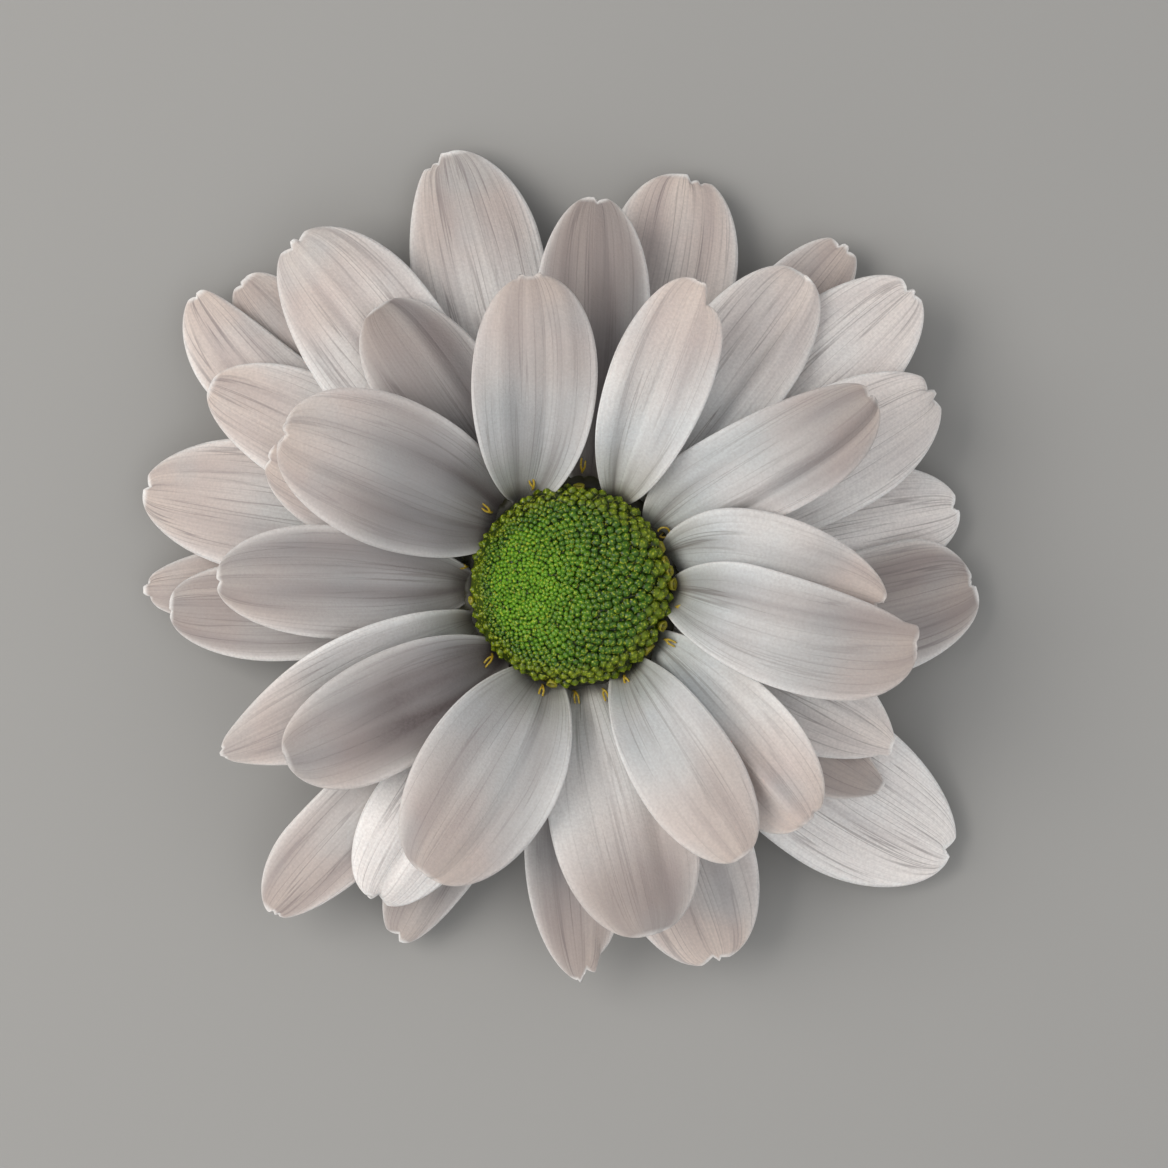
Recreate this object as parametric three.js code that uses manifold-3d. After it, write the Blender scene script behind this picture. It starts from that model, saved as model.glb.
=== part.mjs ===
// One bloom of a white spray chrysanthemum of the daisy form, picked just under its calyx and lying
// face up. Millimetres, +Z up. The origin is on the bloom's axis, on the flat cut end that it rests on.

import * as THREE from "three";
import { ConvexGeometry } from "three/addons/geometries/ConvexGeometry.js";
import { mergeVertices } from "three/addons/utils/BufferGeometryUtils.js";
import Module from "manifold-3d";

const wasm = await Module();
wasm.setup();

// Driving dimensions, in millimetres and degrees

const BLADE = 0.6;
const ROOT_SUNK = 0.9;
const CLEARANCE = 0.3;
const LAID_GAP = 0.85;

const CUT_END_RADIUS = 3.0;
const STEM_STUB = 1.2;
const CALYX_RADIUS = 8.8;
const CALYX_TOP = 5.4;

const COLLAR_INNER = 7.3;
const COLLAR_OUTER = 9.7;
const COLLAR_BOTTOM = CALYX_TOP + CLEARANCE;
const COLLAR_TOP = 8.5;

const DISC_RADIUS = 8.5;
const DISC_NECK = COLLAR_INNER - CLEARANCE;
const DISC_RIM_HEIGHT = 10.2;
const DISC_BOTTOM = 9.4;
const DISC_CROWN = 14.2;
const DISC_FLORETS = 250;
const FLORET_DENT = 0.42;

// The rows of petals. A petal starts at root radius and root height on the collar, rises at `rise`
// degrees and reaches its tip falling at `dip` degrees. Its section is an arc that turns through
// `cup` radians at the root and CROWN at the tip. The claw is the root's share of the petal's width.

const CROWN = -0.3;

const ROWS = {
  outer: { radius: 9.2, height: 6.6, rise: 6, dip: -14, cup: 0.35, claw: 0.22 },
  middle: { radius: 8.8, height: 7.4, rise: 30, dip: -12, cup: 0.55, claw: 0.22 },
  tall: { radius: 8.6, height: 7.8, rise: 48, dip: -6, cup: 0.8, claw: 0.22 },
  inner: { radius: 8.4, height: 8.2, rise: 57, dip: 0, cup: 0.95, claw: 0.22 },
  broad: { radius: 8.4, height: 8.2, rise: 57, dip: 0, cup: 0.95, claw: 0.3 },
};

// The petals, from the lowest to the highest, as each is laid on those before it.
// Row, direction of the root, direction of the tip, reach from the axis, width, height of the tip,
// and the sideways bow in degrees, positive where the petal bulges clockwise. Then the shares of the
// length where the left and the right side are widest, seen from the root, and the closing power,
// which is blunt when small and pointed when large.

const PETALS = [
  ["outer", 105, 106, 38.6, 11.9, 2.6, -3, 0.48, 0.70, 0.54],
  ["outer", 74, 74.5, 36.5, 11.3, 2.6, 9, 0.74, 0.68, 0.44],
  ["outer", 52, 51, 37.5, 8.0, 2.8, 0, 0.70, 0.56, 0.46],
  ["outer", 16, 11.5, 33.8, 10.6, 2.6, 2, 0.62, 0.62, 0.52],
  ["outer", -8, 0, 34.5, 11.4, 3.2, 18, 0.80, 0.52, 0.46],
  ["outer", -36, -35.5, 39.8, 13.7, 2.4, 7, 0.58, 0.66, 0.54],
  ["outer", -106, -116, 33.7, 7.5, 2.8, 3, 0.46, 0.70, 0.54],
  ["outer", 141, 137, 38.4, 8.0, 2.8, -4, 0.66, 0.60, 0.44],
  ["outer", 150, 142, 40.6, 8.6, 3.4, -16, 0.78, 0.36, 0.62],
  ["outer", 176, -179.5, 36.6, 7.2, 2.4, 0, 0.62, 0.62, 0.60],
  ["outer", -176, -177, 34.2, 8.7, 3.4, -6, 0.64, 0.62, 0.46],
  ["outer", 160, 167.5, 37.4, 11.3, 3.2, 4, 0.62, 0.62, 0.54],
  ["middle", 38, 41, 38.3, 11.0, 6.4, 0, 0.62, 0.62, 0.50],
  ["middle", 24, 28, 34.8, 10.5, 6.6, 2, 0.62, 0.66, 0.54],
  ["middle", -34, -33, 30.9, 8.1, 5.8, 4, 0.55, 0.60, 0.64],
  ["middle", -24, -26.5, 29.8, 8.6, 7.8, 0, 0.60, 0.56, 0.60],
  ["middle", -66, -68.5, 34.1, 12.4, 6.0, 0, 0.64, 0.60, 0.46],
  ["middle", -92, -88.5, 33.1, 8.1, 6.4, 2, 0.62, 0.60, 0.60],
  ["middle", -129, -132.5, 37.6, 7.8, 6.0, 2, 0.60, 0.78, 0.60],
  ["middle", -116, -122, 31.1, 10.1, 7.4, 2, 0.50, 0.66, 0.46],
  ["middle", 148, 151, 34.8, 9.6, 7.0, 5, 0.60, 0.64, 0.56],
  ["middle", 152, 157, 27.5, 8.7, 8.2, 0, 0.62, 0.62, 0.54],
  ["middle", 131, 129, 37.5, 12.2, 6.4, 3, 0.54, 0.70, 0.50],
  ["middle", 123, 124.5, 28.3, 9.5, 9.0, 2, 0.66, 0.58, 0.48],
  ["middle", 81, 86.5, 32.7, 9.7, 8.4, 0, 0.60, 0.64, 0.54],
  ["middle", 50, 53.5, 32.6, 9.9, 8.0, -2, 0.60, 0.64, 0.46],
  ["tall", 179, 179, 29.2, 9.4, 13.5, 0, 0.54, 0.64, 0.52],
  ["tall", -158, -154.5, 32.3, 9.2, 11.5, -5, 0.50, 0.50, 0.90],
  ["inner", -136, -149, 27.3, 9.7, 15.5, -4, 0.70, 0.54, 0.52],
  ["broad", 139, 152, 26.6, 12.3, 18.0, 4, 0.54, 0.60, 0.46],
  ["inner", -80, -77, 29.4, 12.0, 14.5, 0, 0.62, 0.62, 0.48],
  ["broad", -108, -117, 26.3, 11.8, 17.0, -5, 0.58, 0.56, 0.46],
  ["inner", -34, -45, 27.3, 9.3, 16.5, -1, 0.66, 0.66, 0.44],
  ["broad", -55, -57.5, 26.0, 8.7, 18.5, 4, 0.62, 0.60, 0.50],
  ["inner", 34, 32.5, 29.2, 9.1, 16.5, 4, 0.34, 0.70, 0.52],
  ["inner", 16, -3, 25.7, 9.5, 15.5, -10, 0.38, 0.62, 0.62],
  ["inner", -4, -9.5, 28.6, 9.6, 17.0, 16, 0.38, 0.74, 0.54],
  ["inner", 118, 97.5, 25.4, 10.3, 17.5, 9, 0.60, 0.62, 0.48],
  ["inner", 62, 67, 26.9, 8.4, 18.0, -3, 0.60, 0.62, 0.46],
];

const BRACTS_IN_ROW = 12;

const BRACT_ROWS = [
  { rootRadius: 4.4, rootHeight: 2.1, tipRadius: 7.8, tipHeight: 3.2, width: 3.2 },
  { rootRadius: 6.0, rootHeight: 3.2, tipRadius: 9.5, tipHeight: 4.4, width: 3.8 },
  { rootRadius: 7.4, rootHeight: 4.3, tipRadius: 11.2, tipHeight: 5.4, width: 4.6 },
];

// Steps of the fine sheet on which petals are laid, and how many of them one facet takes

const SHEET_ALONG = 24;
const SHEET_ACROSS = 8;
const FACET_ALONG = 3;
const FACET_ACROSS = 2;

const FLORET_TURN = 137.508;
const UP = new THREE.Vector3(0, 0, 1);

const radians = (degrees) => (degrees * Math.PI) / 180;

const clamp = (value, low, high) => Math.min(Math.max(value, low), high);

const smooth = (value) => {
  const t = clamp(value, 0, 1);
  return t * t * (3 - 2 * t);
};

// A direction at a compass angle, lifted by an elevation
function direction(angle, elevation = 0) {
  const level = Math.cos(elevation);
  return new THREE.Vector3(level * Math.cos(angle), level * Math.sin(angle), Math.sin(elevation));
}

// A point at a radius, a compass angle in degrees and a height
function place(radius, degrees, height) {
  const point = direction(radians(degrees)).multiplyScalar(radius);
  point.z = height;
  return point;
}

// Solids

function toManifold(geometry) {
  const bare = geometry.clone();
  bare.deleteAttribute("normal");
  bare.deleteAttribute("uv");
  const merged = mergeVertices(bare, 1e-5);
  const positions = new Float32Array(merged.attributes.position.array);
  const triangles = new Uint32Array(merged.index.array);
  return new wasm.Manifold(new wasm.Mesh({ numProp: 3, vertProperties: positions, triVerts: triangles }));
}

function toGeometry(solid) {
  const mesh = solid.getMesh();
  const geometry = new THREE.BufferGeometry();
  geometry.setAttribute("position", new THREE.BufferAttribute(new Float32Array(mesh.vertProperties), 3));
  geometry.setIndex(new THREE.BufferAttribute(new Uint32Array(mesh.triVerts), 1));
  geometry.computeVertexNormals();
  return geometry;
}

// Joins solids in pairs, then the pairs, so that no join has one big and one small side
function join(solids) {
  let round = solids;
  while (round.length > 1) {
    const next = [];
    for (let i = 0; i < round.length; i += 2) {
      next.push(i + 1 < round.length ? round[i].add(round[i + 1]) : round[i]);
    }
    round = next;
  }
  return round[0];
}

// Keeps the largest body, and leaves out loose scraps and sealed hollows
function wholeBody(solid) {
  const bodies = solid.decompose();
  bodies.sort((a, b) => b.volume() - a.volume());
  return bodies[0];
}

// A solid turned round the axis from a closed profile of [radius, height] points
function turned(profile, sides) {
  const points = profile.map(([radius, height]) => new THREE.Vector2(radius, height));
  const geometry = new THREE.LatheGeometry(points, sides);
  geometry.rotateX(Math.PI / 2);
  return geometry;
}

// Petals

// Half the width of a petal at a share u of its length: a claw that widens to the widest place, then
// closes in a round end.
function halfWidth(u, width, claw, widest, point) {
  const opening = Math.sin((Math.PI / 2) * clamp(u / widest, 0, 1)) ** 0.75;
  const low = claw + (1 - claw) * opening;
  const t = clamp((u - widest) / (1 - widest), 0, 1);
  const high = 0.1 + 0.9 * Math.max(1 - t * t, 0) ** point;
  return (width / 2) * (u < widest ? low : high);
}

// The sheet of one petal: rows of points from root to tip, each row running across it.
// The centre line is a cubic curve, and each cross-section is an arc.
function petalSheet(petal) {
  const [rowName, rootAngle, tipAngle, reach, width, tipHeight, bow, left, right, point] = petal;
  const row = ROWS[rowName];
  const root = place(row.radius, rootAngle, row.height);
  const tip = place(reach, tipAngle, tipHeight);
  const chord = tip.clone().sub(root);
  const length = chord.length();
  const heading = Math.atan2(chord.y, chord.x);
  const leave = direction(heading - radians(bow), radians(row.rise));
  const arrive = direction(heading + radians(bow), radians(row.dip));
  const curve = new THREE.CubicBezierCurve3(
    root,
    root.clone().addScaledVector(leave, length * 0.36),
    tip.clone().addScaledVector(arrive, -length * 0.36),
    tip,
  );
  const sheet = [];
  for (let i = 0; i <= SHEET_ALONG; i += 1) {
    const u = Math.sin((i / SHEET_ALONG) * (Math.PI / 2));
    const centre = curve.getPoint(u);
    const along = curve.getTangent(u);
    const side = new THREE.Vector3().crossVectors(UP, along).normalize();
    const normal = new THREE.Vector3().crossVectors(along, side);
    const leftHalf = halfWidth(u, width, row.claw, left, point);
    const rightHalf = halfWidth(u, width, row.claw, right, point);
    const turn = row.cup + (CROWN - row.cup) * u ** 0.8;
    const bend = Math.abs(turn) < 0.001 ? 0.001 : turn;
    const points = [];
    for (let j = 0; j <= SHEET_ACROSS; j += 1) {
      const v = (2 * j) / SHEET_ACROSS - 1;
      const half = v > 0 ? leftHalf : rightHalf;
      const spot = centre.clone();
      spot.addScaledVector(side, (half * Math.sin(bend * v)) / bend);
      spot.addScaledVector(normal, (half * (1 - Math.cos(bend * v))) / bend);
      points.push(spot);
    }
    sheet.push({ u, points });
  }
  return sheet;
}

// Laying petals on each other

// The ground is a map of the highest point laid so far, in small square cells
const CELL = 0.4;
const MAP_HALF = 44;
const MAP_SIDE = Math.round((2 * MAP_HALF) / CELL);

const cellOf = (value) => clamp(Math.floor((value + MAP_HALF) / CELL), 1, MAP_SIDE - 2);

function highestNear(ground, x, y) {
  const column = cellOf(x);
  const line = cellOf(y);
  let highest = -Infinity;
  for (let dy = -1; dy <= 1; dy += 1) {
    for (let dx = -1; dx <= 1; dx += 1) {
      highest = Math.max(highest, ground[(line + dy) * MAP_SIDE + column + dx]);
    }
  }
  return highest;
}

// Takes each value's neighbours within a reach, along the petal and across it, and combines them
function gather(field, reachAlong, reachAcross, combine) {
  return field.map((line, i) =>
    line.map((_, j) => {
      const near = [];
      for (let di = -reachAlong; di <= reachAlong; di += 1) {
        for (let dj = -reachAcross; dj <= reachAcross; dj += 1) {
          const a = clamp(i + di, 0, field.length - 1);
          const b = clamp(j + dj, 0, line.length - 1);
          near.push(field[a][b]);
        }
      }
      return combine(near);
    }),
  );
}

const largest = (values) => Math.max(...values);
const mean = (values) => values.reduce((sum, value) => sum + value, 0) / values.length;

// Lifts a petal where it would sink into what lies under it. The lift needed at each point is
// spread to its neighbours and smoothed, and it fades out towards the root.
function layOn(ground, sheet) {
  let lift = sheet.map(({ u, points }) =>
    points.map((point) => {
      const lack = highestNear(ground, point.x, point.y) + LAID_GAP - point.z;
      return Math.max(lack, 0) * clamp((u - 0.03) / 0.12, 0, 1);
    }),
  );
  lift = gather(lift, 3, 2, largest);
  lift = gather(lift, 1, 1, mean);
  lift = gather(lift, 1, 1, mean);
  lift = gather(lift, 1, 1, mean);
  sheet.forEach(({ u, points }, i) => {
    points.forEach((point, j) => {
      point.z += lift[i][j] * smooth(u / 0.2);
    });
  });
}

// Marks on the ground what a laid petal covers
function cover(ground, sheet) {
  const steps = 6;
  for (let i = 0; i < SHEET_ALONG; i += 1) {
    for (let j = 0; j < SHEET_ACROSS; j += 1) {
      const corners = [sheet[i].points[j], sheet[i + 1].points[j]];
      const across = [sheet[i].points[j + 1], sheet[i + 1].points[j + 1]];
      for (let a = 0; a <= steps; a += 1) {
        const near = corners[0].clone().lerp(corners[1], a / steps);
        const far = across[0].clone().lerp(across[1], a / steps);
        for (let b = 0; b <= steps; b += 1) {
          const point = near.clone().lerp(far, b / steps);
          const cell = cellOf(point.y) * MAP_SIDE + cellOf(point.x);
          ground[cell] = Math.max(ground[cell], point.z);
        }
      }
    }
  }
}

// A closed blade from a sheet: both faces are split into triangles alike, half a blade's thickness
// to each side, and a rim joins them.
function bladeFromSheet(grid, thickness) {
  const lines = grid.length;
  const across = grid[0].length;
  const positions = [];
  const at = (i, j) => grid[clamp(i, 0, lines - 1)][clamp(j, 0, across - 1)];
  const normals = grid.map((line, i) =>
    line.map((_, j) => {
      const along = at(i + 1, j).clone().sub(at(i - 1, j));
      const over = at(i, j + 1).clone().sub(at(i, j - 1));
      return over.cross(along).normalize().negate();
    }),
  );
  for (const side of [1, -1]) {
    grid.forEach((line, i) => {
      line.forEach((point, j) => {
        const moved = point.clone().addScaledVector(normals[i][j], (side * thickness) / 2);
        positions.push(moved.x, moved.y, moved.z);
      });
    });
  }
  const top = (i, j) => i * across + j;
  const under = (i, j) => lines * across + i * across + j;
  const triangles = [];
  for (let i = 0; i < lines - 1; i += 1) {
    for (let j = 0; j < across - 1; j += 1) {
      triangles.push(top(i, j), top(i + 1, j), top(i + 1, j + 1));
      triangles.push(top(i, j), top(i + 1, j + 1), top(i, j + 1));
      triangles.push(under(i, j), under(i, j + 1), under(i + 1, j + 1));
      triangles.push(under(i, j), under(i + 1, j + 1), under(i + 1, j));
    }
  }
  const rim = [];
  for (let j = 0; j < across; j += 1) rim.push([0, j]);
  for (let i = 1; i < lines; i += 1) rim.push([i, across - 1]);
  for (let j = across - 2; j >= 0; j -= 1) rim.push([lines - 1, j]);
  for (let i = lines - 2; i > 0; i -= 1) rim.push([i, 0]);
  rim.forEach((here, k) => {
    const next = rim[(k + 1) % rim.length];
    triangles.push(top(...here), top(...next), under(...next), top(...here), under(...next), under(...here));
  });
  const geometry = new THREE.BufferGeometry();
  geometry.setAttribute("position", new THREE.BufferAttribute(new Float32Array(positions), 3));
  geometry.setIndex(triangles);
  return geometry;
}

// A petal's blade, with one more row of points that sinks its root into the collar
function petalBlade(sheet) {
  const grid = [];
  for (let i = 0; i <= SHEET_ALONG; i += FACET_ALONG) {
    const line = [];
    for (let j = 0; j <= SHEET_ACROSS; j += FACET_ACROSS) line.push(sheet[i].points[j]);
    grid.push(line);
  }
  const sunk = grid[0].map((point, j) => {
    const back = point.clone().sub(grid[1][j]).normalize();
    return point.clone().addScaledVector(back, ROOT_SUNK);
  });
  grid.unshift(sunk);
  return bladeFromSheet(grid, BLADE);
}

function collar() {
  return turned([
    [COLLAR_INNER, COLLAR_BOTTOM],
    [COLLAR_OUTER - 0.3, COLLAR_BOTTOM],
    [COLLAR_OUTER, COLLAR_BOTTOM + 0.8],
    [COLLAR_OUTER - 0.4, COLLAR_BOTTOM + 1.9],
    [COLLAR_OUTER - 1.0, COLLAR_TOP],
    [COLLAR_INNER, COLLAR_TOP],
    [COLLAR_INNER, COLLAR_BOTTOM],
  ], 32);
}

// The room that the disc takes, with its clearance, which the petals' roots are bent clear of
function discRoom() {
  return turned([
    [0, COLLAR_TOP - 0.2],
    [DISC_NECK + CLEARANCE, COLLAR_TOP - 0.2],
    [DISC_RADIUS + CLEARANCE, DISC_BOTTOM - CLEARANCE],
    [DISC_RADIUS + CLEARANCE, DISC_CROWN],
    [0, DISC_CROWN],
  ], 32);
}

function rayFlorets() {
  const ground = new Float32Array(MAP_SIDE * MAP_SIDE).fill(-100);
  const blades = PETALS.map((petal) => {
    const sheet = petalSheet(petal);
    layOn(ground, sheet);
    cover(ground, sheet);
    return toManifold(petalBlade(sheet));
  });
  const crown = join([...blades, toManifold(collar())]);
  return toGeometry(wholeBody(crown.subtract(toManifold(discRoom()))));
}

// Disc florets

// The dome's height at a radius: an ellipse from the rim to the crown
const domeHeight = (radius) =>
  DISC_RIM_HEIGHT + (DISC_CROWN - DISC_RIM_HEIGHT) * Math.sqrt(Math.max(1 - (radius / DISC_RADIUS) ** 2, 0));

// Floret tops stand on a spiral of equal turns, and the dome is stretched over them. Every facet
// between three tops is then pushed in at its middle, so each top is a bud with a dent all round.
function discDome() {
  const tops = [];
  for (let i = 0; i < DISC_FLORETS; i += 1) {
    const radius = DISC_RADIUS * Math.sqrt((i + 0.5) / DISC_FLORETS) ** 0.96;
    tops.push(place(Math.min(radius, DISC_RADIUS), i * FLORET_TURN, domeHeight(radius)));
  }
  const below = [];
  for (let i = 0; i < 32; i += 1) {
    below.push(place(DISC_RADIUS - 0.4, (i * 360) / 32, DISC_BOTTOM));
  }
  const hull = new ConvexGeometry([...tops, ...below]);
  const corners = hull.attributes.position;
  const positions = [];
  for (let k = 0; k < corners.count; k += 3) {
    const [a, b, c] = [0, 1, 2].map((n) => new THREE.Vector3().fromBufferAttribute(corners, k + n));
    const middle = a.clone().add(b).add(c).divideScalar(3);
    const outward = b.clone().sub(a).cross(c.clone().sub(a)).normalize();
    const isFloor = a.z + b.z + c.z < 3 * DISC_BOTTOM + 0.1;
    if (isFloor) {
      positions.push(...a, ...b, ...c);
    } else {
      middle.addScaledVector(outward, -FLORET_DENT);
      positions.push(...a, ...b, ...middle, ...b, ...c, ...middle, ...c, ...a, ...middle);
    }
  }
  const dome = new THREE.BufferGeometry();
  dome.setAttribute("position", new THREE.BufferAttribute(new Float32Array(positions), 3));
  return dome;
}

function discFlorets() {
  const neck = turned([
    [0, COLLAR_BOTTOM],
    [DISC_NECK, COLLAR_BOTTOM],
    [DISC_NECK, DISC_BOTTOM + 0.4],
    [0, DISC_BOTTOM + 0.4],
  ], 32);
  return toGeometry(wholeBody(toManifold(discDome()).add(toManifold(neck))));
}

// Calyx

function receptacle() {
  return turned([
    [0, 0],
    [CUT_END_RADIUS, 0],
    [CUT_END_RADIUS, STEM_STUB],
    [CUT_END_RADIUS + 1.4, STEM_STUB + 0.5],
    [CALYX_RADIUS - 1.9, CALYX_TOP - 2.1],
    [CALYX_RADIUS, CALYX_TOP - 0.6],
    [CALYX_RADIUS, CALYX_TOP],
    [0, CALYX_TOP],
  ], 2 * BRACTS_IN_ROW);
}

// One bract: a short blade that follows the cup outwards and up, widest past its root, with a blunt tip
function bractSheet(row, angle) {
  const shares = [0, 0.5, 1];
  const widths = [0.85, 1, 0.35];
  const facing = direction(radians(angle));
  const side = new THREE.Vector3(-facing.y, facing.x, 0);
  return shares.map((share, i) => {
    const radius = row.rootRadius + (row.tipRadius - row.rootRadius) * share;
    const height = row.rootHeight + (row.tipHeight - row.rootHeight) * share ** 1.25;
    return [-1, 0, 1].map((v) => {
      const point = facing.clone().multiplyScalar(radius);
      point.addScaledVector(side, (v * widths[i] * row.width) / 2);
      point.z = height + 0.25 * v * v;
      return point;
    });
  });
}

function calyx() {
  const blades = BRACT_ROWS.flatMap((row, r) =>
    Array.from({ length: BRACTS_IN_ROW }, (_, i) => {
      const angle = ((i + r / 2) * 360) / BRACTS_IN_ROW;
      return toManifold(bladeFromSheet(bractSheet(row, angle), BLADE));
    }),
  );
  const green = join([...blades, toManifold(receptacle())]);
  const floor = toManifold(turned([[0, -5], [30, -5], [30, 0], [0, 0]], 8));
  const ceiling = toManifold(turned([[0, CALYX_TOP], [30, CALYX_TOP], [30, 20], [0, 20]], 8));
  return toGeometry(wholeBody(green.subtract(floor).subtract(ceiling)));
}

// The bloom

function material(color, roughness) {
  return new THREE.MeshStandardMaterial({ color, roughness, metalness: 0, side: THREE.DoubleSide });
}

function piece(name, geometry, finish) {
  const mesh = new THREE.Mesh(geometry, finish);
  mesh.name = name;
  return mesh;
}

const bloom = new THREE.Group();
bloom.add(piece("ray_florets", rayFlorets(), material("#d2cbc5", 0.6)));
bloom.add(piece("disc_florets", discFlorets(), material("#5a7a28", 0.55)));
bloom.add(piece("calyx", calyx(), material("#5f7a3c", 0.65)));

export default bloom;
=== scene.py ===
# %% [markdown]
# A white spray chrysanthemum of the daisy form, seen from straight above: three rows of long petals
# round a domed green disc of packed buds, on a green calyx with the cut end of its stem. The solids
# from the CAD part hold its sizes, and the cells below grow the fine surfaces over them.
# Every length is written in millimetres, and turned to Blender's metres when a mesh is made.

# %% Load the fixed frame
from collections import namedtuple

import bpy
import numpy as np
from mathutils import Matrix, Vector


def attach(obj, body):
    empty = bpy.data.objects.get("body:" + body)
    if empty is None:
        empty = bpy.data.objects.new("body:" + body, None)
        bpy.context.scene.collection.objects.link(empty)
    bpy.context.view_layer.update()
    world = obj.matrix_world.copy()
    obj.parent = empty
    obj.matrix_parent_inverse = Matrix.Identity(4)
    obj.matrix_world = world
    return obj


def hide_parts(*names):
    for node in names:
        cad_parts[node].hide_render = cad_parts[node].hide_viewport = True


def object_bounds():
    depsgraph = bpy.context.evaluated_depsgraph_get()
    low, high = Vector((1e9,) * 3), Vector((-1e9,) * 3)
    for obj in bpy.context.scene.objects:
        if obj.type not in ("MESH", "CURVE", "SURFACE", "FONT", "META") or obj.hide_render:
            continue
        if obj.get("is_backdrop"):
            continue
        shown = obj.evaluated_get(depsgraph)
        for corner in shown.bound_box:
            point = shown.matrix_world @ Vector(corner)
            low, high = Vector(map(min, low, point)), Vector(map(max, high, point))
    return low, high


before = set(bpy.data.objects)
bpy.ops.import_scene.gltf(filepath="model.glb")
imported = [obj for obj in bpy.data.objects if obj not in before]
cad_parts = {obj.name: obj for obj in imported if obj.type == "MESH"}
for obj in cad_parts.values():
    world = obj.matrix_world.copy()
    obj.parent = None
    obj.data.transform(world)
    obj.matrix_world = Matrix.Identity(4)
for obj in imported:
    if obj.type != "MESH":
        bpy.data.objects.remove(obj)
cad_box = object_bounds()
MM = 0.001
TURN = 2 * np.pi
SEED = 20

print("nodes to dress:", sorted(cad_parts))

# %% [markdown]
# ## Small tools
# Each finish is a node tree, and each piece is a set of numpy arrays, so two helpers are needed:
# one that adds a shader node with its settings and links, and one that turns arrays into a mesh.
# The second could be done with bmesh, but writing whole arrays is far quicker for the 300,000
# points of this bloom, and it keeps the shape's formula apart from Blender's bookkeeping.

# %% Colours and shader nodes


def linear(colour):
    """Turns an sRGB hex colour into the linear values that shaders work in."""
    values = np.array([int(colour[i:i + 2], 16) for i in (1, 3, 5)]) / 255
    low = values / 12.92
    high = ((values + 0.055) / 1.055) ** 2.4
    return (*np.where(values <= 0.04045, low, high).tolist(), 1.0)


def add_node(tree, kind, inputs=None, stops=None, **settings):
    """Adds one shader node with its options. Its inputs take values or other nodes' sockets, and a
    colour ramp takes its stops as pairs of a place and a hex colour."""
    new = tree.nodes.new("ShaderNode" + kind)
    for name, value in settings.items():
        setattr(new, name, value)
    for key, value in (inputs or {}).items():
        if isinstance(value, bpy.types.NodeSocket):
            tree.links.new(value, new.inputs[key])
        else:
            new.inputs[key].default_value = value
    for number, (position, colour) in enumerate(stops or []):
        elements = new.color_ramp.elements
        element = elements[number] if number < len(elements) else elements.new(position)
        element.position = position
        element.color = linear(colour)
    return new


def new_material(name, surface):
    """A material with its node tree, its surface shader, the numbers that are the same all over the
    surface, and the link to its output."""
    material = bpy.data.materials.new(name)
    material.use_nodes = True
    tree = material.node_tree
    tree.nodes.clear()
    output = add_node(tree, "OutputMaterial")
    shader = add_node(tree, "BsdfPrincipled", surface)
    tree.links.new(shader.outputs["BSDF"], output.inputs["Surface"])
    return material, tree, shader


print("petal white in linear light:", [round(v, 3) for v in linear("#d9d7d5")[:3]])

# %% Meshes from arrays


def hand_over(piece, node):
    """Says that a piece rides on the bloom's one body, and stands for a plain node, which it hides."""
    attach(piece, "root")
    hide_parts(node)


def build_mesh(name, points, faces, material, uv=None, values=None):
    """A smooth mesh object from points in millimetres and groups of faces with equal corners.
    uv holds one pair for each point, and values names numbers that the points carry."""
    mesh = bpy.data.meshes.new(name)
    corners = np.concatenate([group.ravel() for group in faces])
    sizes = np.concatenate([np.full(len(group), group.shape[1]) for group in faces])
    mesh.vertices.add(len(points))
    mesh.vertices.foreach_set("co", (np.asarray(points) * MM).astype(np.float32).ravel())
    mesh.loops.add(len(corners))
    mesh.loops.foreach_set("vertex_index", corners.astype(np.int32))
    mesh.polygons.add(len(sizes))
    starts = np.concatenate([[0], np.cumsum(sizes)[:-1]])
    mesh.polygons.foreach_set("loop_start", starts.astype(np.int32))
    mesh.polygons.foreach_set("use_smooth", np.ones(len(sizes), bool))
    if uv is not None:
        layer = mesh.uv_layers.new(name="UVMap")
        layer.data.foreach_set("uv", np.asarray(uv)[corners].astype(np.float32).ravel())
    for key, numbers in (values or {}).items():
        attribute = mesh.attributes.new(key, "FLOAT", "POINT")
        attribute.data.foreach_set("value", np.asarray(numbers, np.float32).ravel())
    mesh.update(calc_edges=True)
    mesh.validate()
    mesh.materials.append(material)
    piece = bpy.data.objects.new(name, mesh)
    bpy.context.scene.collection.objects.link(piece)
    low, high = np.round(points.min(0), 1), np.round(points.max(0), 1)
    print(f"{name}: {int((sizes - 2).sum())} triangles, from {low} to {high} mm")
    return piece


print("one mm is", MM, "of Blender's metres")

# %% Faces of grids and rings


def grid_faces(lines, across, wrap=False, closed=False):
    """The four-cornered faces of a grid of points: wrapped round in the second direction, and closed
    from the last line to the first."""
    i, j = np.meshgrid(np.arange(lines if closed else lines - 1),
                       np.arange(across if wrap else across - 1), indexing="ij")
    below, beside = (i + 1) % lines * across, (j + 1) % across
    return np.stack([i * across + j, below + j, below + beside, i * across + beside], -1).reshape(-1, 4)


def capped_faces(lines, sides):
    """The faces of rings of points in a row, and of the fans that close them to two more points, one
    at each end. The rings run anticlockwise for an eye that looks along the row."""
    j = np.arange(sides)
    k = (j + 1) % sides
    last = (lines - 1) * sides
    first_fan = np.stack([np.full(sides, lines * sides), j, k], -1)
    last_fan = np.stack([np.full(sides, lines * sides + 1), k + last, j + last], -1)
    return [grid_faces(lines, sides, wrap=True), np.concatenate([first_fan, last_fan])]


def repeat_faces(faces, copies, stride):
    """The same faces for each of a number of equal sets of points."""
    shift = np.arange(copies)[:, None, None] * stride
    return (faces[None] + shift).reshape(-1, faces.shape[1])


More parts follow.
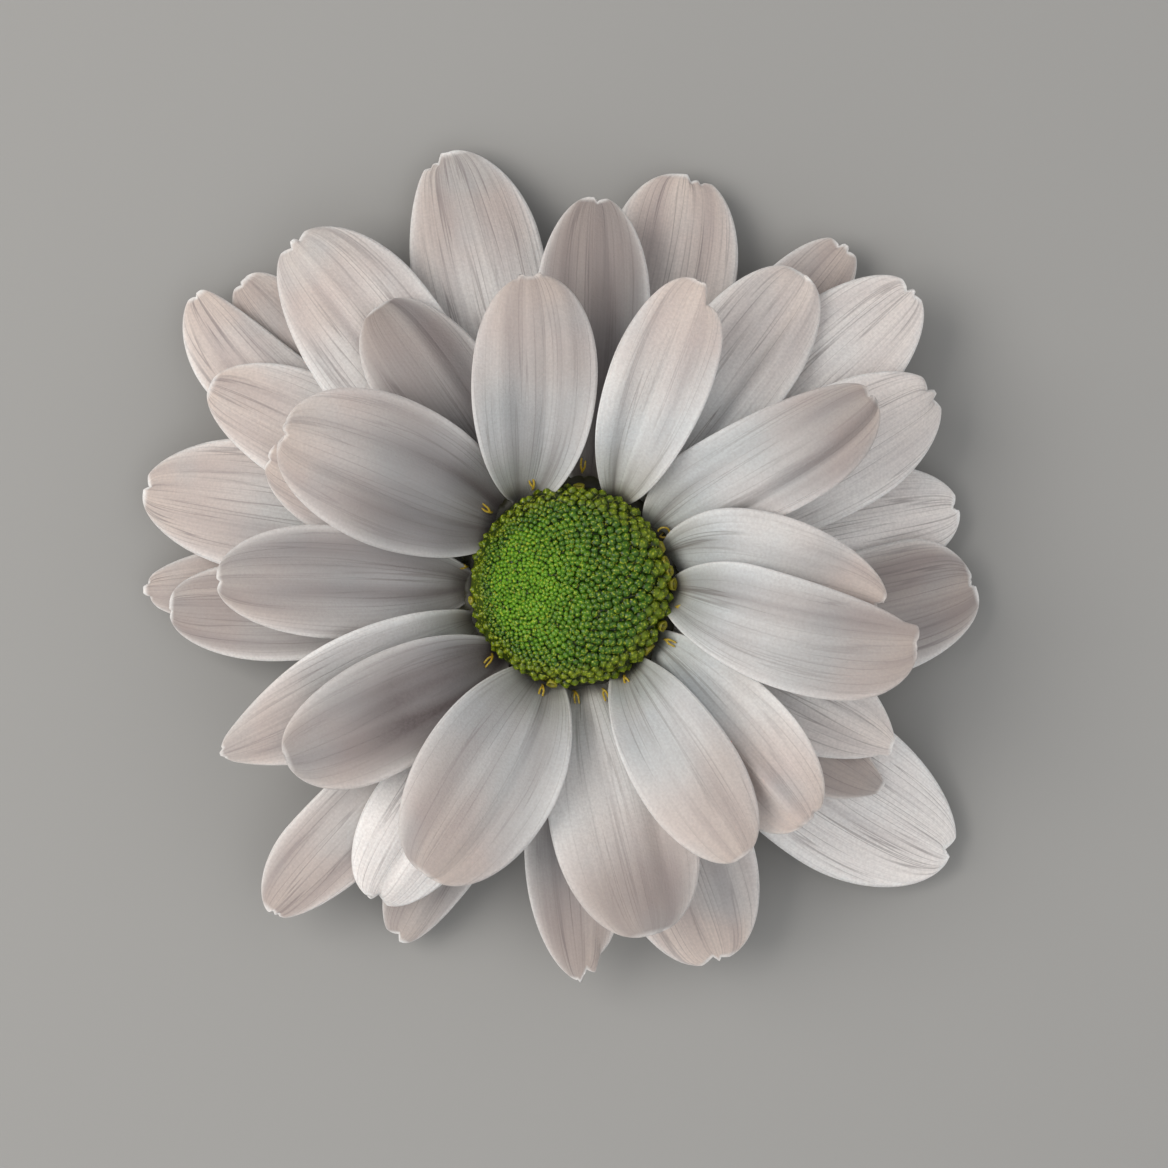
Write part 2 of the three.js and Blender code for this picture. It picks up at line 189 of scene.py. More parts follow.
print("grid of 3 by 4 points has", len(grid_faces(3, 4)), "faces")

# %% Places, directions and steps


def place(radius, degrees, height):
    """A point at a radius from the bloom's axis, a compass angle and a height."""
    angle = np.radians(degrees)
    return np.stack(np.broadcast_arrays(radius * np.cos(angle), radius * np.sin(angle), height), -1)


def unit(vectors):
    """The same directions, one long."""
    return vectors / np.linalg.norm(vectors, axis=-1, keepdims=True)


def smooth(value):
    """An S-shaped step from 0 to 1."""
    t = np.clip(value, 0, 1)
    return t * t * (3 - 2 * t)


print("a place 10 mm out at 90 degrees:", place(10.0, 90, 0).round(3))

# %% [markdown]
# ## Camera, light and floor
# The photograph looks straight down on the open face from close by, so the lens is a short telephoto
# held 300 mm above the petals. Light falls softly from the left: a lamp like a small window shapes
# the petals, and one more than twice as wide fills their shadows. A weaker lamp across from them
# reaches the outer petals on the right, and a pale sky lights them all round. The floor is plain,
# and a little darker than the petals, so that their painted bright rims stand out from it.

# %% Camera
VIEW_HEIGHT = 300.0
VIEW_PLANE = 8.0
VIEW_WIDTH = 98.15
VIEW_CENTRE = (1.09, 0.17)
SENSOR = 36.0

camera_data = bpy.data.cameras.new("camera")
camera_data.sensor_width = SENSOR
camera_data.lens = SENSOR * VIEW_HEIGHT / VIEW_WIDTH
camera_data.clip_start = 0.01
camera = bpy.data.objects.new("camera", camera_data)
camera.location = Vector((*VIEW_CENTRE, VIEW_HEIGHT + VIEW_PLANE)) * MM
bpy.context.scene.collection.objects.link(camera)
bpy.context.scene.camera = camera

print("lens:", round(camera_data.lens, 1), "mm")

# %% Lights and sky


def area_light(name, place_mm, size_mm, watts, colour):
    """A square lamp that faces the middle of the bloom."""
    data = bpy.data.lights.new(name, "AREA")
    data.size = size_mm * MM
    data.energy = watts
    data.color = linear(colour)[:3]
    lamp = bpy.data.objects.new(name, data)
    lamp.location = Vector(place_mm) * MM
    lamp.rotation_euler = (-lamp.location).to_track_quat("-Z", "Y").to_euler()
    bpy.context.scene.collection.objects.link(lamp)


area_light("window_light", (-327, 70, 372), 350, 1.5, "#fffaf4")
area_light("wide_light", (-177, -177, 433), 900, 1.6, "#fbfaf8")
area_light("low_light", (383, 0, 321), 900, 1.35, "#fbfaf8")

world = bpy.data.worlds.new("pale_sky")
world.use_nodes = True
sky = world.node_tree.nodes["Background"]
sky.inputs["Color"].default_value = linear("#e9edf2")
sky.inputs["Strength"].default_value = 0.29
bpy.context.scene.world = world
bpy.context.scene.view_settings.view_transform = "Standard"

print("lights:", [light.name for light in bpy.data.lights])

# %% Floor
FLOOR_HALF = 1500.0

floor_look = {"Base Color": linear("#9e9d9b"), "Roughness": 0.9}
floor_material, _, _ = new_material("matte_paper_floor", floor_look)
floor_corners = np.array([[-1, -1, 0], [1, -1, 0], [1, 1, 0], [-1, 1, 0]]) * FLOOR_HALF
floor = build_mesh("floor", floor_corners, [np.array([[0, 1, 2, 3]])], floor_material)
floor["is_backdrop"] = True

# %% [markdown]
# ## Ray florets: the white petals
# Each petal of a daisy-form bloom is a whole small flower: its foot is a narrow tube, which opens
# into one long strap with two lengthwise grooves and a toothed end. The petals stand in rows. The
# outer row spreads level, and the inner ones rise steeply and arch over.
#
# One could model a petal by hand and copy it round, but then all would be alike and would cross. So
# each petal is its own row in a table, read off the photograph: where its foot and its tip are, how
# wide it is and how far it bows. The petals are then laid on each other from the lowest up, and each
# is lifted where it would sink into those beneath, as real ones rest on their neighbours.

# %% Rows
# The kinds of petal, of which the last three make up the third row. Each has the radius and height
# of its foot in mm, the rise of the foot and of the tip in degrees, the turn of the foot's cup in
# radians, the claw's share of the width, and how clearly the veins and the painted highlight of the
# rim show.
ROWS = {
    "outer": dict(radius=9.2, height=6.6, rise=6, dip=-14, cup=0.35, claw=0.22, lined=1.0),
    "middle": dict(radius=8.8, height=7.4, rise=30, dip=-12, cup=0.55, claw=0.22, lined=0.85),
    "tall": dict(radius=8.6, height=7.8, rise=48, dip=-6, cup=0.8, claw=0.22, lined=0.7),
    "inner": dict(radius=8.4, height=8.2, rise=57, dip=0, cup=0.95, claw=0.22, lined=0.45),
    "broad": dict(radius=8.4, height=8.2, rise=57, dip=0, cup=0.95, claw=0.3, lined=0.45),
}
CROWN = -0.3

print("kinds of petal:", ", ".join(ROWS))

# %% Petals
Petal = namedtuple(
    "Petal", "row foot tip reach width tip_height bow left right power foot_tone tip_tone notches folds")

# Row, direction of the foot and of the tip in degrees, reach, width and height of the tip in mm, and
# the bow in degrees. Then the shares of the length where the left and the right side are widest, and
# the closing power, then how dark its foot half and its tip half are painted, less than nothing where
# they are painted whiter than the rest: partly the petal's own tint, partly painted shade and painted
# light. Last come the notches, each as its place across the tip and its depth in mm, less than
# nothing where the edge stands out in a corner, and the folds, each as its share of the half width and
# its height in mm.
PETALS = [Petal(*row) for row in [
    ("outer", 105, 106, 38.6, 11.9, 2.6, -3, 0.48, 0.7, 0.54, -0.5, 0.45, [(0.9, 0.7), (1.6, 0.3)], []),
    ("outer", 74, 74.5, 36.5, 11.3, 2.6, 9, 0.74, 0.68, 0.44, 0, 0, [(-0.5, 0.6), (-1.4, 0.5)], []),
    ("outer", 52, 51, 37.5, 8.0, 2.8, 0, 0.7, 0.56, 0.46, 0.3, 0.3, [(0.5, 0.5), (-0.4, 0.4)], []),
    ("outer", 16, 11.5, 33.8, 10.6, 2.6, 2, 0.62, 0.62, 0.52, -1, -0.8, [(0.0, 0.5)], []),
    ("outer", -8, 0, 34.5, 11.4, 3.2, 18, 0.8, 0.52, 0.46, 1, 0.9, [(0.2, 0.4)], []),
    ("outer", -36, -35.5, 39.8, 13.7, 2.4, 7, 0.58, 0.66, 0.54, -1, -0.9, [(0.3, 0.7)], [(0.15, 0.2)]),
    ("outer", -106, -116, 33.7, 7.5, 2.8, 3, 0.46, 0.7, 0.54, 0.6, 0.6, [(-0.2, 0.6)], []),
    ("outer", 141, 137, 38.4, 8.0, 2.8, -4, 0.66, 0.6, 0.44, 0.4, 0.3, [(0.4, 0.3)], []),
    ("outer", 150, 142, 40.6, 8.6, 3.4, -16, 0.78, 0.36, 0.62, 0, 0, [(0.2, 0.3)], []),
    ("outer", 176, -179.5, 36.6, 7.2, 2.4, 0, 0.62, 0.62, 0.6, 0.8, 0.6, [(0.6, 0.5), (-0.5, 0.4)], []),
    ("outer", -176, -177, 34.2, 8.7, 3.4, -6, 0.64, 0.62, 0.46, 1.1, 0.9, [(0.3, 0.2)], []),
    ("outer", 160, 167.5, 37.4, 11.3, 3.2, 4, 0.62, 0.62, 0.54, 0.3, 0.3, [(-0.4, 0.5)], []),
    ("middle", 38, 41, 38.3, 11.0, 6.4, 0, 0.62, 0.62, 0.5, -0.8, -0.6, [(0.2, 0.5), (-0.5, 0.3)], []),
    ("middle", 24, 28, 34.8, 10.5, 6.6, 2, 0.62, 0.66, 0.54, -0.8, -0.6, [(0.5, 0.6), (-0.4, 0.5)], []),
    ("middle", -34, -33, 31.4, 8.3, 5.8, 4, 0.5, 0.66, 0.92, 0.9, 0.6, [], [(0.15, 0.3), (-0.3, -0.15)]),
    ("middle", -24, -26.5, 30.2, 8.6, 7.8, 0, 0.66, 0.58, 0.8, -0.7, -0.5, [(-0.9, -0.4)], []),
    ("middle", -66, -68.5, 34.1, 12.4, 6.0, 0, 0.64, 0.6, 0.46, 0, 0, [(-0.3, 0.6), (0.3, 0.3)], []),
    ("middle", -92, -88.5, 33.1, 8.1, 6.4, 2, 0.62, 0.6, 0.6, 1, 0.8,
     [(0.5, 1.6), (1.2, -1.3), (-0.3, 0.3)], []),
    ("middle", -129, -132.5, 37.6, 7.8, 6.0, 2, 0.6, 0.78, 0.6, 0.5, 0.5, [(0.5, 0.3), (0.0, 0.3)], []),
    ("middle", -116, -122, 31.1, 10.1, 7.4, 2, 0.5, 0.66, 0.46, -1, -0.9, [(0.0, 0.6)], [(0.0, -0.5)]),
    ("middle", 148, 151, 34.8, 9.6, 7.0, 5, 0.6, 0.64, 0.56, 0.1, 0.1, [], []),
    ("middle", 152, 157, 27.5, 8.7, 8.2, 0, 0.62, 0.62, 0.54, 0.2, 0.2, [(0.1, 0.3)], []),
    ("middle", 131, 129, 37.5, 12.2, 6.4, 3, 0.54, 0.7, 0.5, -0.3, 0, [(0.4, 0.5), (-0.5, 0.4)],
     [(-0.3, -0.2)]),
    ("middle", 123, 124.5, 28.3, 9.5, 9.0, 2, 0.66, 0.58, 0.48, 1.3, 1.1, [], []),
    ("middle", 81, 86.5, 32.7, 9.7, 8.4, 0, 0.6, 0.64, 0.54, 1.5, 1.2, [(-0.2, 0.4)], []),
    ("middle", 50, 53.5, 32.6, 9.9, 8.0, -2, 0.6, 0.64, 0.46, -0.45, -0.3, [],
     [(-0.6, 0.4), (-0.32, -0.4), (0, 0.2)]),
    ("tall", 179, 179, 29.2, 9.4, 13.5, 0, 0.54, 0.64, 0.52, 1.3, 1, [(0.1, 0.3)], []),
    ("tall", -158, -154.5, 32.3, 9.2, 11.5, -5, 0.5, 0.5, 0.90, 0.6, 0.4, [(0.4, 0.3), (-0.3, 0.4)], []),
    ("inner", -136, -149, 27.3, 9.7, 15.5, -4, 0.7, 0.54, 0.52, 1.9, 0.9, [], [(0.2, -0.2)]),
    ("broad", 139, 152, 26.6, 12.3, 18.0, 4, 0.54, 0.6, 0.46, 1.65, 0.5, [(0.0, 0.4)],
     [(0.26, -0.28), (-0.5, -0.2)]),
    ("inner", -80, -77, 29.4, 12.0, 14.5, 0, 0.62, 0.62, 0.48, -0.3, 1.1, [], [(0.55, -0.35)]),
    ("broad", -108, -117, 26.3, 11.8, 17.0, -5, 0.58, 0.56, 0.46, 0.8, 0.6, [],
     [(0.5, -0.4), (0.2, 0.2), (-0.15, -0.2)]),
    ("inner", -34, -45, 27.3, 9.3, 16.5, -1, 0.66, 0.66, 0.44, 0, 0, [(0.9, 0.3)],
     [(-0.12, 0.8), (-0.45, -0.5), (-0.7, -0.5)]),
    ("broad", -55, -57.5, 26.0, 8.7, 18.5, 4, 0.62, 0.6, 0.5, 0.3, 0.4, [], []),
    ("inner", 34, 32.5, 29.2, 9.1, 16.5, 4, 0.34, 0.7, 0.52, 0.25, 1, [(0, 0.3)],
     [(-0.68, -0.45), (-0.4, 0.25)]),
    ("inner", 16, -3, 25.7, 9.5, 15.5, -10, 0.38, 0.62, 0.62, 0.2, 0.4, [(-0.3, 0.5)], []),
    ("inner", -4, -9.5, 28.6, 9.6, 17.0, 16, 0.38, 0.74, 0.54, 0.5, 0.9, [(1.5, -0.7)], [(-0.5, -0.15)]),
    ("inner", 118, 97.5, 25.4, 10.3, 17.5, 9, 0.6, 0.62, 0.48, 0.75, 0.65, [(0.8, -0.3), (-0.9, -0.25)],
     [(0.3, -0.22), (-0.25, -0.22)]),
    ("inner", 62, 67, 26.9, 8.4, 18.0, -3, 0.6, 0.62, 0.46, 0, 0.1, [(-1.2, 1.4)], []),
]]

print("petals:", len(PETALS))

# %% [markdown]
# ### The form of one petal
# The centre line is a cubic curve from the foot to the tip, which leaves the foot at the row's rise
# and comes to the tip at its dip. Across it lies an arc, cupped near the foot and slightly domed
# near the tip. The outline opens from a narrow claw to the widest place and closes in a blunt end.

# %% Petal form
STEPS_ALONG, STEPS_ACROSS = 24, 8
SHARE_OF_HANDLE = 0.36
FUNNEL_SHARE = 0.22
BLUNT_END = 0.1
LEAST_TURN = 0.001


def half_width(u, v, petal):
    """Half the width at a share u of the length, on the side where v lies: the claw, opened by a
    power of a quarter sine to the widest place, then a close that keeps a tenth of the width at the
    very end."""
    claw = ROWS[petal.row]["claw"]
    widest = np.where(v > 0, petal.left, petal.right)
    opened = claw + (1 - claw) * np.sin(np.pi / 2 * np.clip(u / widest, 0, 1)) ** 0.75
    t = np.clip((u - widest) / (1 - widest), 0, 1)
    closed = BLUNT_END + (1 - BLUNT_END) * (1 - t * t) ** petal.power
    return petal.width / 2 * np.where(u < widest, opened, closed)


def centre_line(petal, u):
    """The cubic curve from the foot to the tip: its points and directions at the shares u, and the
    length of its chord."""
    row = ROWS[petal.row]
    start = place(row["radius"], petal.foot, row["height"])
    end = place(petal.reach, petal.tip, petal.tip_height)
    chord = end - start
    length = np.linalg.norm(chord)
    heading = np.degrees(np.arctan2(chord[1], chord[0]))
    rise, dip = np.radians(row["rise"]), np.radians(row["dip"])
    leave = place(np.cos(rise), heading - petal.bow, np.sin(rise))
    arrive = place(np.cos(dip), heading + petal.bow, np.sin(dip))
    a = start + leave * length * SHARE_OF_HANDLE
    b = end - arrive * length * SHARE_OF_HANDLE
    centre = (1 - u) ** 3 * start + 3 * (1 - u) ** 2 * u * a + 3 * (1 - u) * u * u * b + u ** 3 * end
    along = unit((1 - u) ** 2 * (a - start) + 2 * (1 - u) * u * (b - a) + u * u * (end - b))
    return centre, along, length


def petal_sheet(petal, steps_along, steps_across, roll=0.0):
    """The middle surface of a petal on a grid. Returns its points, the directions along and out of
    it, the shares u along and v across, its half width and its length.
    A point is the centre line's point, plus half width times the sine and one minus the cosine of
    the arc's turn, over that turn, across and outwards. The roll closes the foot into a funnel."""
    u = np.sin(np.linspace(0, 1, steps_along + 1) * np.pi / 2)[:, None]
    v = np.linspace(-1, 1, steps_across + 1)[None, :]
    centre, along, length = centre_line(petal, u)
    across = unit(np.cross([0.0, 0.0, 1.0], along))
    out = np.cross(along, across)
    half = half_width(u, v, petal)
    cup = ROWS[petal.row]["cup"]
    turn = cup + (CROWN - cup) * u ** 0.8 + roll * (1 - smooth(u / FUNNEL_SHARE))
    turn = np.where(np.abs(turn) < LEAST_TURN, LEAST_TURN, turn)
    sideways = half * np.sin(turn * v) / turn
    outwards = half * (1 - np.cos(turn * v)) / turn
    points = centre[:, None] + across[:, None] * sideways[..., None] + out[:, None] * outwards[..., None]
    return points, along, out, u, v, half, length


tip = petal_sheet(PETALS[0], STEPS_ALONG, STEPS_ACROSS)[0][-1, STEPS_ACROSS // 2]
print("first petal reaches", round(float(np.linalg.norm(tip[:2])), 1), "mm from the axis")

# %% [markdown]
# ### Laying the petals on each other
# A square map of the ground holds the highest point laid so far in each small cell. A new petal is
# read against it: where a point lies lower than the ground and the gap, the lack is the lift needed.
# The lift is spread to the points round it, smoothed, and faded out at the foot, so the petal bends
# gently over what it rests on. A cloth simulation could do this too, but it would crumple a stiff
# petal, and this rule gives the same result each time.
#
# Near the feet, where the petals crowd, a lower one's edge would still stand up through the one laid
# over it. So they are gone through once more from the highest down, and pressed where they must be.

# %% Ground map
CELL = 0.4
MAP_HALF = 44.0
MAP_SIDE = int(round(2 * MAP_HALF / CELL))
BARE, OPEN_SKY = -100.0, 100.0
COVER_ALONG, COVER_ACROSS = 145, 49


def cell_of(points):
    """The line and column of the map cell under each point."""
    cells = np.floor((points[..., :2] + MAP_HALF) / CELL).astype(int)
    cells = np.clip(cells, 1, MAP_SIDE - 2)
    return cells[..., 1], cells[..., 0]


def shifted(field, steps, axis):
    """The field moved by some steps, with its border kept."""
    places = np.clip(np.arange(field.shape[axis]) + steps, 0, field.shape[axis] - 1)
    return np.take(field, places, axis=axis)


def gather(field, reach_along, reach_across, combine):
    """The largest, smallest or mean of each value and its neighbours, in one direction and then in
    the other."""
    for axis, reach in ((0, reach_along), (1, reach_across)):
        field = combine([shifted(field, step, axis) for step in range(-reach, reach + 1)], axis=0)
    return field


def spread(coarse, fine):
    """Weights that read values between the steps of a coarse row at evenly spaced finer places."""
    places = np.linspace(0, coarse - 1, fine)[:, None]
    return np.clip(1 - np.abs(places - np.arange(coarse)[None]), 0, 1)


def cover(ground, points, keep=np.maximum):
    """Marks on the map what a sheet covers, from points set close together on it."""
    along, across = spread(points.shape[0], COVER_ALONG), spread(points.shape[1], COVER_ACROSS)
    fine = (along @ points.transpose(2, 0, 1) @ across.T).transpose(1, 2, 0)
    keep.at(ground, cell_of(fine), fine[..., 2])


print("ground map:", MAP_SIDE, "by", MAP_SIDE, "cells of", CELL, "mm")

# %% Laying and pressing
LAID_GAP = 0.85
PRESS_GAP = 0.45
SPREAD_ALONG, SPREAD_ACROSS = 3, 2
SMOOTHINGS = 3
FOOT_FIXED, FOOT_FADE, FOOT_SHARE = 0.03, 0.12, 0.2


def lay_petals():
    """The lift of each petal on the coarse grid, from the lowest petal to the highest, and their
    laid sheets. A lift starts just past the foot, and grows to its full size over a fifth of the
    length."""
    ground = np.full((MAP_SIDE, MAP_SIDE), BARE)
    lifts, laid = [], []
    for petal in PETALS:
        points, _, _, u, _, _, _ = petal_sheet(petal, STEPS_ALONG, STEPS_ACROSS)
        near = gather(ground, 1, 1, np.max)
        lack = np.maximum(near[cell_of(points)] + LAID_GAP - points[..., 2], 0)
        lack = lack * np.clip((u - FOOT_FIXED) / FOOT_FADE, 0, 1)
        lift = gather(lack, SPREAD_ALONG, SPREAD_ACROSS, np.max)
        for _ in range(SMOOTHINGS):
            lift = gather(lift, 1, 1, np.mean)
        lift = lift * smooth(u / FOOT_SHARE)
        points[..., 2] += lift
        cover(ground, points)
        lifts.append(lift)
        laid.append(points)
    return lifts, laid


def press_feet(laid):
    """How far each petal is pressed down again under those laid over it."""
    roof = np.full((MAP_SIDE, MAP_SIDE), OPEN_SKY)
    presses = []
    for points in reversed(laid):
        near = gather(roof, 1, 1, np.min)
        excess = np.maximum(points[..., 2] + PRESS_GAP - near[cell_of(points)], 0)
        press = gather(gather(excess, 1, 1, np.max), 1, 1, np.mean)
        pressed = points - np.array([0.0, 0.0, 1.0]) * press[..., None]
        cover(roof, pressed, np.minimum)
        presses.append(press)
    return presses[::-1]


lifts, laid = lay_petals()
presses = press_feet(laid)
print("largest lifts in mm:", sorted(round(float(lift.max()), 1) for lift in lifts)[-5:])
print("largest presses in mm:", sorted(round(float(press.max()), 1) for press in presses)[-5:])

# %% [markdown]
# ### Fine petals
# The bare sheet is now dressed with what a hand lens shows: two main grooves, softer ribs between
# them, a gentle wave along each edge and the petal's own folds. All of these are heights out of the
# sheet, so they are plain sums of waves and bell curves. The edge is then cut with its notches, and
# the sheet is given two faces that meet in a thin rim.

# %% Spline weights and blades
FINE_ALONG, FINE_ACROSS = 80, 36


def spline(coarse, fine):
    """Weights of a cubic B-spline through a coarse row, at evenly spaced finer places: two thirds
    minus t squared plus half t cubed near a step, a sixth of (2 - t) cubed further out."""
    t = np.abs(np.linspace(0, coarse - 1, fine)[:, None] - np.arange(coarse)[None])
    weights = np.where(t < 1, 2 / 3 - t * t + t ** 3 / 2, np.clip(2 - t, 0, 2) ** 3 / 6)
    return weights / weights.sum(1, keepdims=True)


def both_faces(numbers, middle):
    """A number for each point of the middle surface, given to both faces of the blade."""
    whole = np.broadcast_to(numbers, middle.shape[:2])
    return np.concatenate([whole, whole[:, ::-1]], axis=1)


def blade(middle, thickness, across, along, carried):
    """Rings of points round a thin blade, their UV places and the numbers that they carry. A ring
    lies half the thickness above and below the middle surface, measured along the normal, which is
    the cross product of the grid's two directions."""
    normal = unit(np.cross(np.gradient(middle, axis=0), np.gradient(middle, axis=1)))
    half = normal * thickness[..., None] / 2
    rings = np.concatenate([middle + half, (middle - half)[:, ::-1]], axis=1)
    uv = np.stack([both_faces(across, middle), both_faces(along, middle)], -1)
    return rings, uv, {name: both_faces(numbers, middle) for name, numbers in carried.items()}


def blade_faces(lines, across):
    """The faces of a blade's rings: one band all round, and a strip that closes each end."""
    j = np.arange(across - 1)
    strip = np.stack([j, 2 * across - 1 - j, 2 * across - 2 - j, j + 1], -1)
    last = (lines - 1) * 2 * across
    return np.concatenate([grid_faces(lines, 2 * across, wrap=True), strip + last, strip[:, ::-1]])


def build_blades(name, blades, material):
    """One piece of many equal blades, each given as its rings, UV places and named numbers."""
    rings, uvs, values = zip(*blades)
    lines, around = rings[0].shape[:2]
    faces = repeat_faces(blade_faces(lines, around // 2), len(rings), lines * around)
    carried = {key: np.stack([one[key] for one in values]).ravel() for key in values[0]}
    return build_mesh(name, np.stack(rings).reshape(-1, 3), [faces], material,
                      np.stack(uvs).reshape(-1, 2), carried)


print("a petal has", 2 * len(blade_faces(FINE_ALONG + 2, FINE_ACROSS + 1)), "triangles")

# %% Ribs and grooves
# Each set of ribs has its half waves from the middle to the edge, and its height in mm.
RIBS = [(2.3, 0.13), (4.1, 0.06), (7.3, 0.015), (13.0, 0.005)]
RIBS_LOST = 0.75
GROOVE_PLACES = (0.2, 0.5)
GROOVE_WIDTHS = (0.06, 0.14)
GROOVE_STRENGTHS = (0.2, 1.1)
GROOVE_WANDER = 0.06
GROOVE_DEPTH = 0.2
ANY_PHASE = (0, 6.3)


def lanes(v, half, widest_half):
    """The lane that veins and ribs keep to, across the petal. Up to the widest place it is the share
    v. Beyond, the lanes close half as fast as the outline, so the outer ones run out at the margin."""
    peak = half.argmax(0)
    beyond = np.arange(len(half))[:, None] > peak[None]
    return v * np.where(beyond, 0.5 + 0.5 * half / widest_half, 1.0)


def bell(value, width):
    """A bell curve, one high."""
    return np.exp(-(value / width) ** 2)


def rib_height(u, v, draw):
    """Cosines across, whose strength comes and goes along the petal and fades towards its tip."""
    height = 0.0
    for waves, size in RIBS:
        strength = 0.6 + 0.4 * np.sin(u * draw.uniform(2, 5) + draw.uniform(*ANY_PHASE))
        strength = strength * (1 - RIBS_LOST * smooth((u - 0.5) / 0.45))
        height = height + size * strength * np.cos(np.pi * waves * v + draw.uniform(*ANY_PHASE))
    return height


def groove_depth(u, v, draw):
    """Two bell curves across, one on each side, which wander a little on their way, run deep at the
    foot and are gone at the tip."""
    depth = 0.0
    for side in (-1, 1):
        at = side * draw.uniform(*GROOVE_PLACES)
        wander = GROOVE_WANDER * np.sin(u * 4 + draw.uniform(*ANY_PHASE))
        middle = draw.uniform(0.1, 0.9)
        strength = middle * (1 - smooth((u - 0.75) / 0.25)) + 0.7 * (1 - smooth(u / 0.45))
        width = draw.uniform(*GROOVE_WIDTHS)
        depth = depth + draw.uniform(*GROOVE_STRENGTHS) * strength * bell(v - at - wander, width)
    return depth


print("grooves up to", GROOVE_DEPTH, "mm deep, ribs up to", RIBS[0][1], "mm high")

# %% Edge waves and the whole relief
EDGE_WAVE = 0.3
FOLD_WIDTH = 0.16
FOLD_CLOSES = 0.3
SWELL = 0.3


def edge_wave(u, v, draw):
    """Sines along, which grow with a power of the distance from the middle: one lifts both edges
    together, the other lifts one and lowers the other."""
    grow = EDGE_WAVE * smooth((u - 0.12) / 0.3) * np.abs(v) ** 2.5
    even = np.sin(TURN * (1.1 * u + draw.uniform()))
    odd = np.sin(TURN * (1.7 * u + draw.uniform()))
    return grow * (0.6 * even + 0.7 * np.sign(v) * odd)


def relief(u, v, half, folds, draw):
    """The height of the surface over its bare sheet, and the depth of its grooves, which the colour
    turns into painted shade. It is the sum of ribs, grooves, edge waves and a slow swell, all lower
    where the petal is narrow, and of the folds: bell curves across that close in on the middle towards
    the tip."""
    narrow = half / half.max()
    v = lanes(v, half, half.max())
    height = rib_height(u, v, draw) * narrow
    groove = groove_depth(u, v, draw)
    height = height - GROOVE_DEPTH * groove * narrow ** 0.7
    for at, size in folds:
        along = smooth(u / 0.3) * (1 - 0.7 * smooth((u - 0.75) / 0.25))
        height = height + size * bell(v - at * (1 - FOLD_CLOSES * u), FOLD_WIDTH) * along
    height = height + edge_wave(u, v, draw) * narrow
    swell = np.sin(TURN * (0.9 * u + draw.uniform())) * np.cos(2.2 * v + draw.uniform(-1, 1))
    height = height + SWELL * swell * narrow
    return height * smooth((u - 0.02) / 0.1), groove


print("edges wave up to", EDGE_WAVE, "mm, and", sum(len(petal.folds) for petal in PETALS), "folds")

# %% Notches
STEEP_SIDE = (0.1, 0.35)
SLOPING_SIDE = (0.2, 1.6)
NOTCH_FADE = 2.6


def notch_cut(u, v, half, length, petal):
    """How far each point moves back towards the foot: the notch's depth, less with the distance from
    its middle, steeply on the inner side, and for a corner the other way round. Either side's width
    is a least width and a share of the depth. The cut fades with the distance from the outline,
    which is where the half width is as wide as the point's side."""
    side = half * v
    widest = np.where(v > 0, petal.left, petal.right)
    closing = np.clip((np.abs(side) / half.max() - BLUNT_END) / (1 - BLUNT_END), 0, 1)
    end = widest + (1 - widest) * np.sqrt(1 - closing ** (1 / petal.power))
    inside = np.clip(end - u, 0, 1) * length
    cut = 0.0
    for at, depth in petal.notches:
        beyond = (side - at) * (1 if at >= 0 else -1)
        sloping, steep = (least + share * abs(depth) for least, share in (SLOPING_SIDE, STEEP_SIDE))
        outer, inner = (sloping, steep) if depth > 0 else (steep, sloping)
        near = np.clip(1 - np.where(beyond > 0, beyond / outer, -beyond / inner), 0, 1)
        cut = cut + depth * near * (1 - smooth(inside / (NOTCH_FADE * abs(depth))))
    return cut


print("deepest notch:", max(depth for petal in PETALS for _, depth in petal.notches), "mm")

# %% One dressed petal
BLADE = 0.34
RIM_THINNER = 0.65
SIDE_RIM_POWER, TIP_RIM = 10, 0.02
TONE_CHANGE = 0.45
ROOT_SUNK = 0.9
FUNNEL_ROLL = 0.25
PALE_MARGIN = 0.35
# The patterns of neighbouring petals are this far apart on the UV map, so that no two are alike.
PATTERN_STEP = 30


def dressed_petal(number):
    """One petal as a blade. Its UV places are in millimetres along and across, and it carries the
    numbers that its colour needs: share of the length, closeness to the rim, groove depth, its tint
    number, which is partly its own tint and partly painted shade and light, and how finely lined it is."""
    petal = PETALS[number]
    draw = np.random.default_rng((SEED, number))
    points, along, out, u, v, half, length = petal_sheet(petal, FINE_ALONG, FINE_ACROSS, FUNNEL_ROLL)
    up, over = spline(STEPS_ALONG + 1, FINE_ALONG + 1), spline(STEPS_ACROSS + 1, FINE_ACROSS + 1)
    points[..., 2] += up @ (lifts[number] - presses[number]) @ over.T
    height, groove = relief(u, v, half, petal.folds, draw)
    points = points + out[:, None] * height[..., None]
    cut = notch_cut(u, v, half, length, petal)
    points = points - along[:, None] * np.broadcast_to(cut, half.shape)[..., None]
    points = np.concatenate([points[:1] - along[:1, None] * ROOT_SUNK, points])
    u, groove = np.concatenate([u[:1], u]), np.concatenate([groove[:1], groove])
    rim = np.maximum(np.abs(v) ** SIDE_RIM_POWER, smooth((u - (1 - TIP_RIM)) / TIP_RIM))
    thickness = BLADE * (1 - RIM_THINNER * rim)
    lane = lanes(v, np.concatenate([half[:1], half]), half.max())
    # The tint number is partly the petal's own tint and partly painted shade and light. It changes from the
    # foot half to the tip half, and a dark one is left lighter at the margin.
    tone = petal.foot_tone + (petal.tip_tone - petal.foot_tone) * smooth((u - TONE_CHANGE) / TONE_CHANGE)
    tone = tone - np.maximum(tone, 0) * PALE_MARGIN * v ** 4
    across = lane * petal.width / 2 + PATTERN_STEP * number
    carried = {"share": u, "rim": rim, "groove": groove, "tone": tone, "lined": ROWS[petal.row]["lined"]}
    return blade(points, thickness, across, u * length, carried)


rings, _, _ = dressed_petal(0)
print("first petal's grid:", rings.shape[:2], "points")

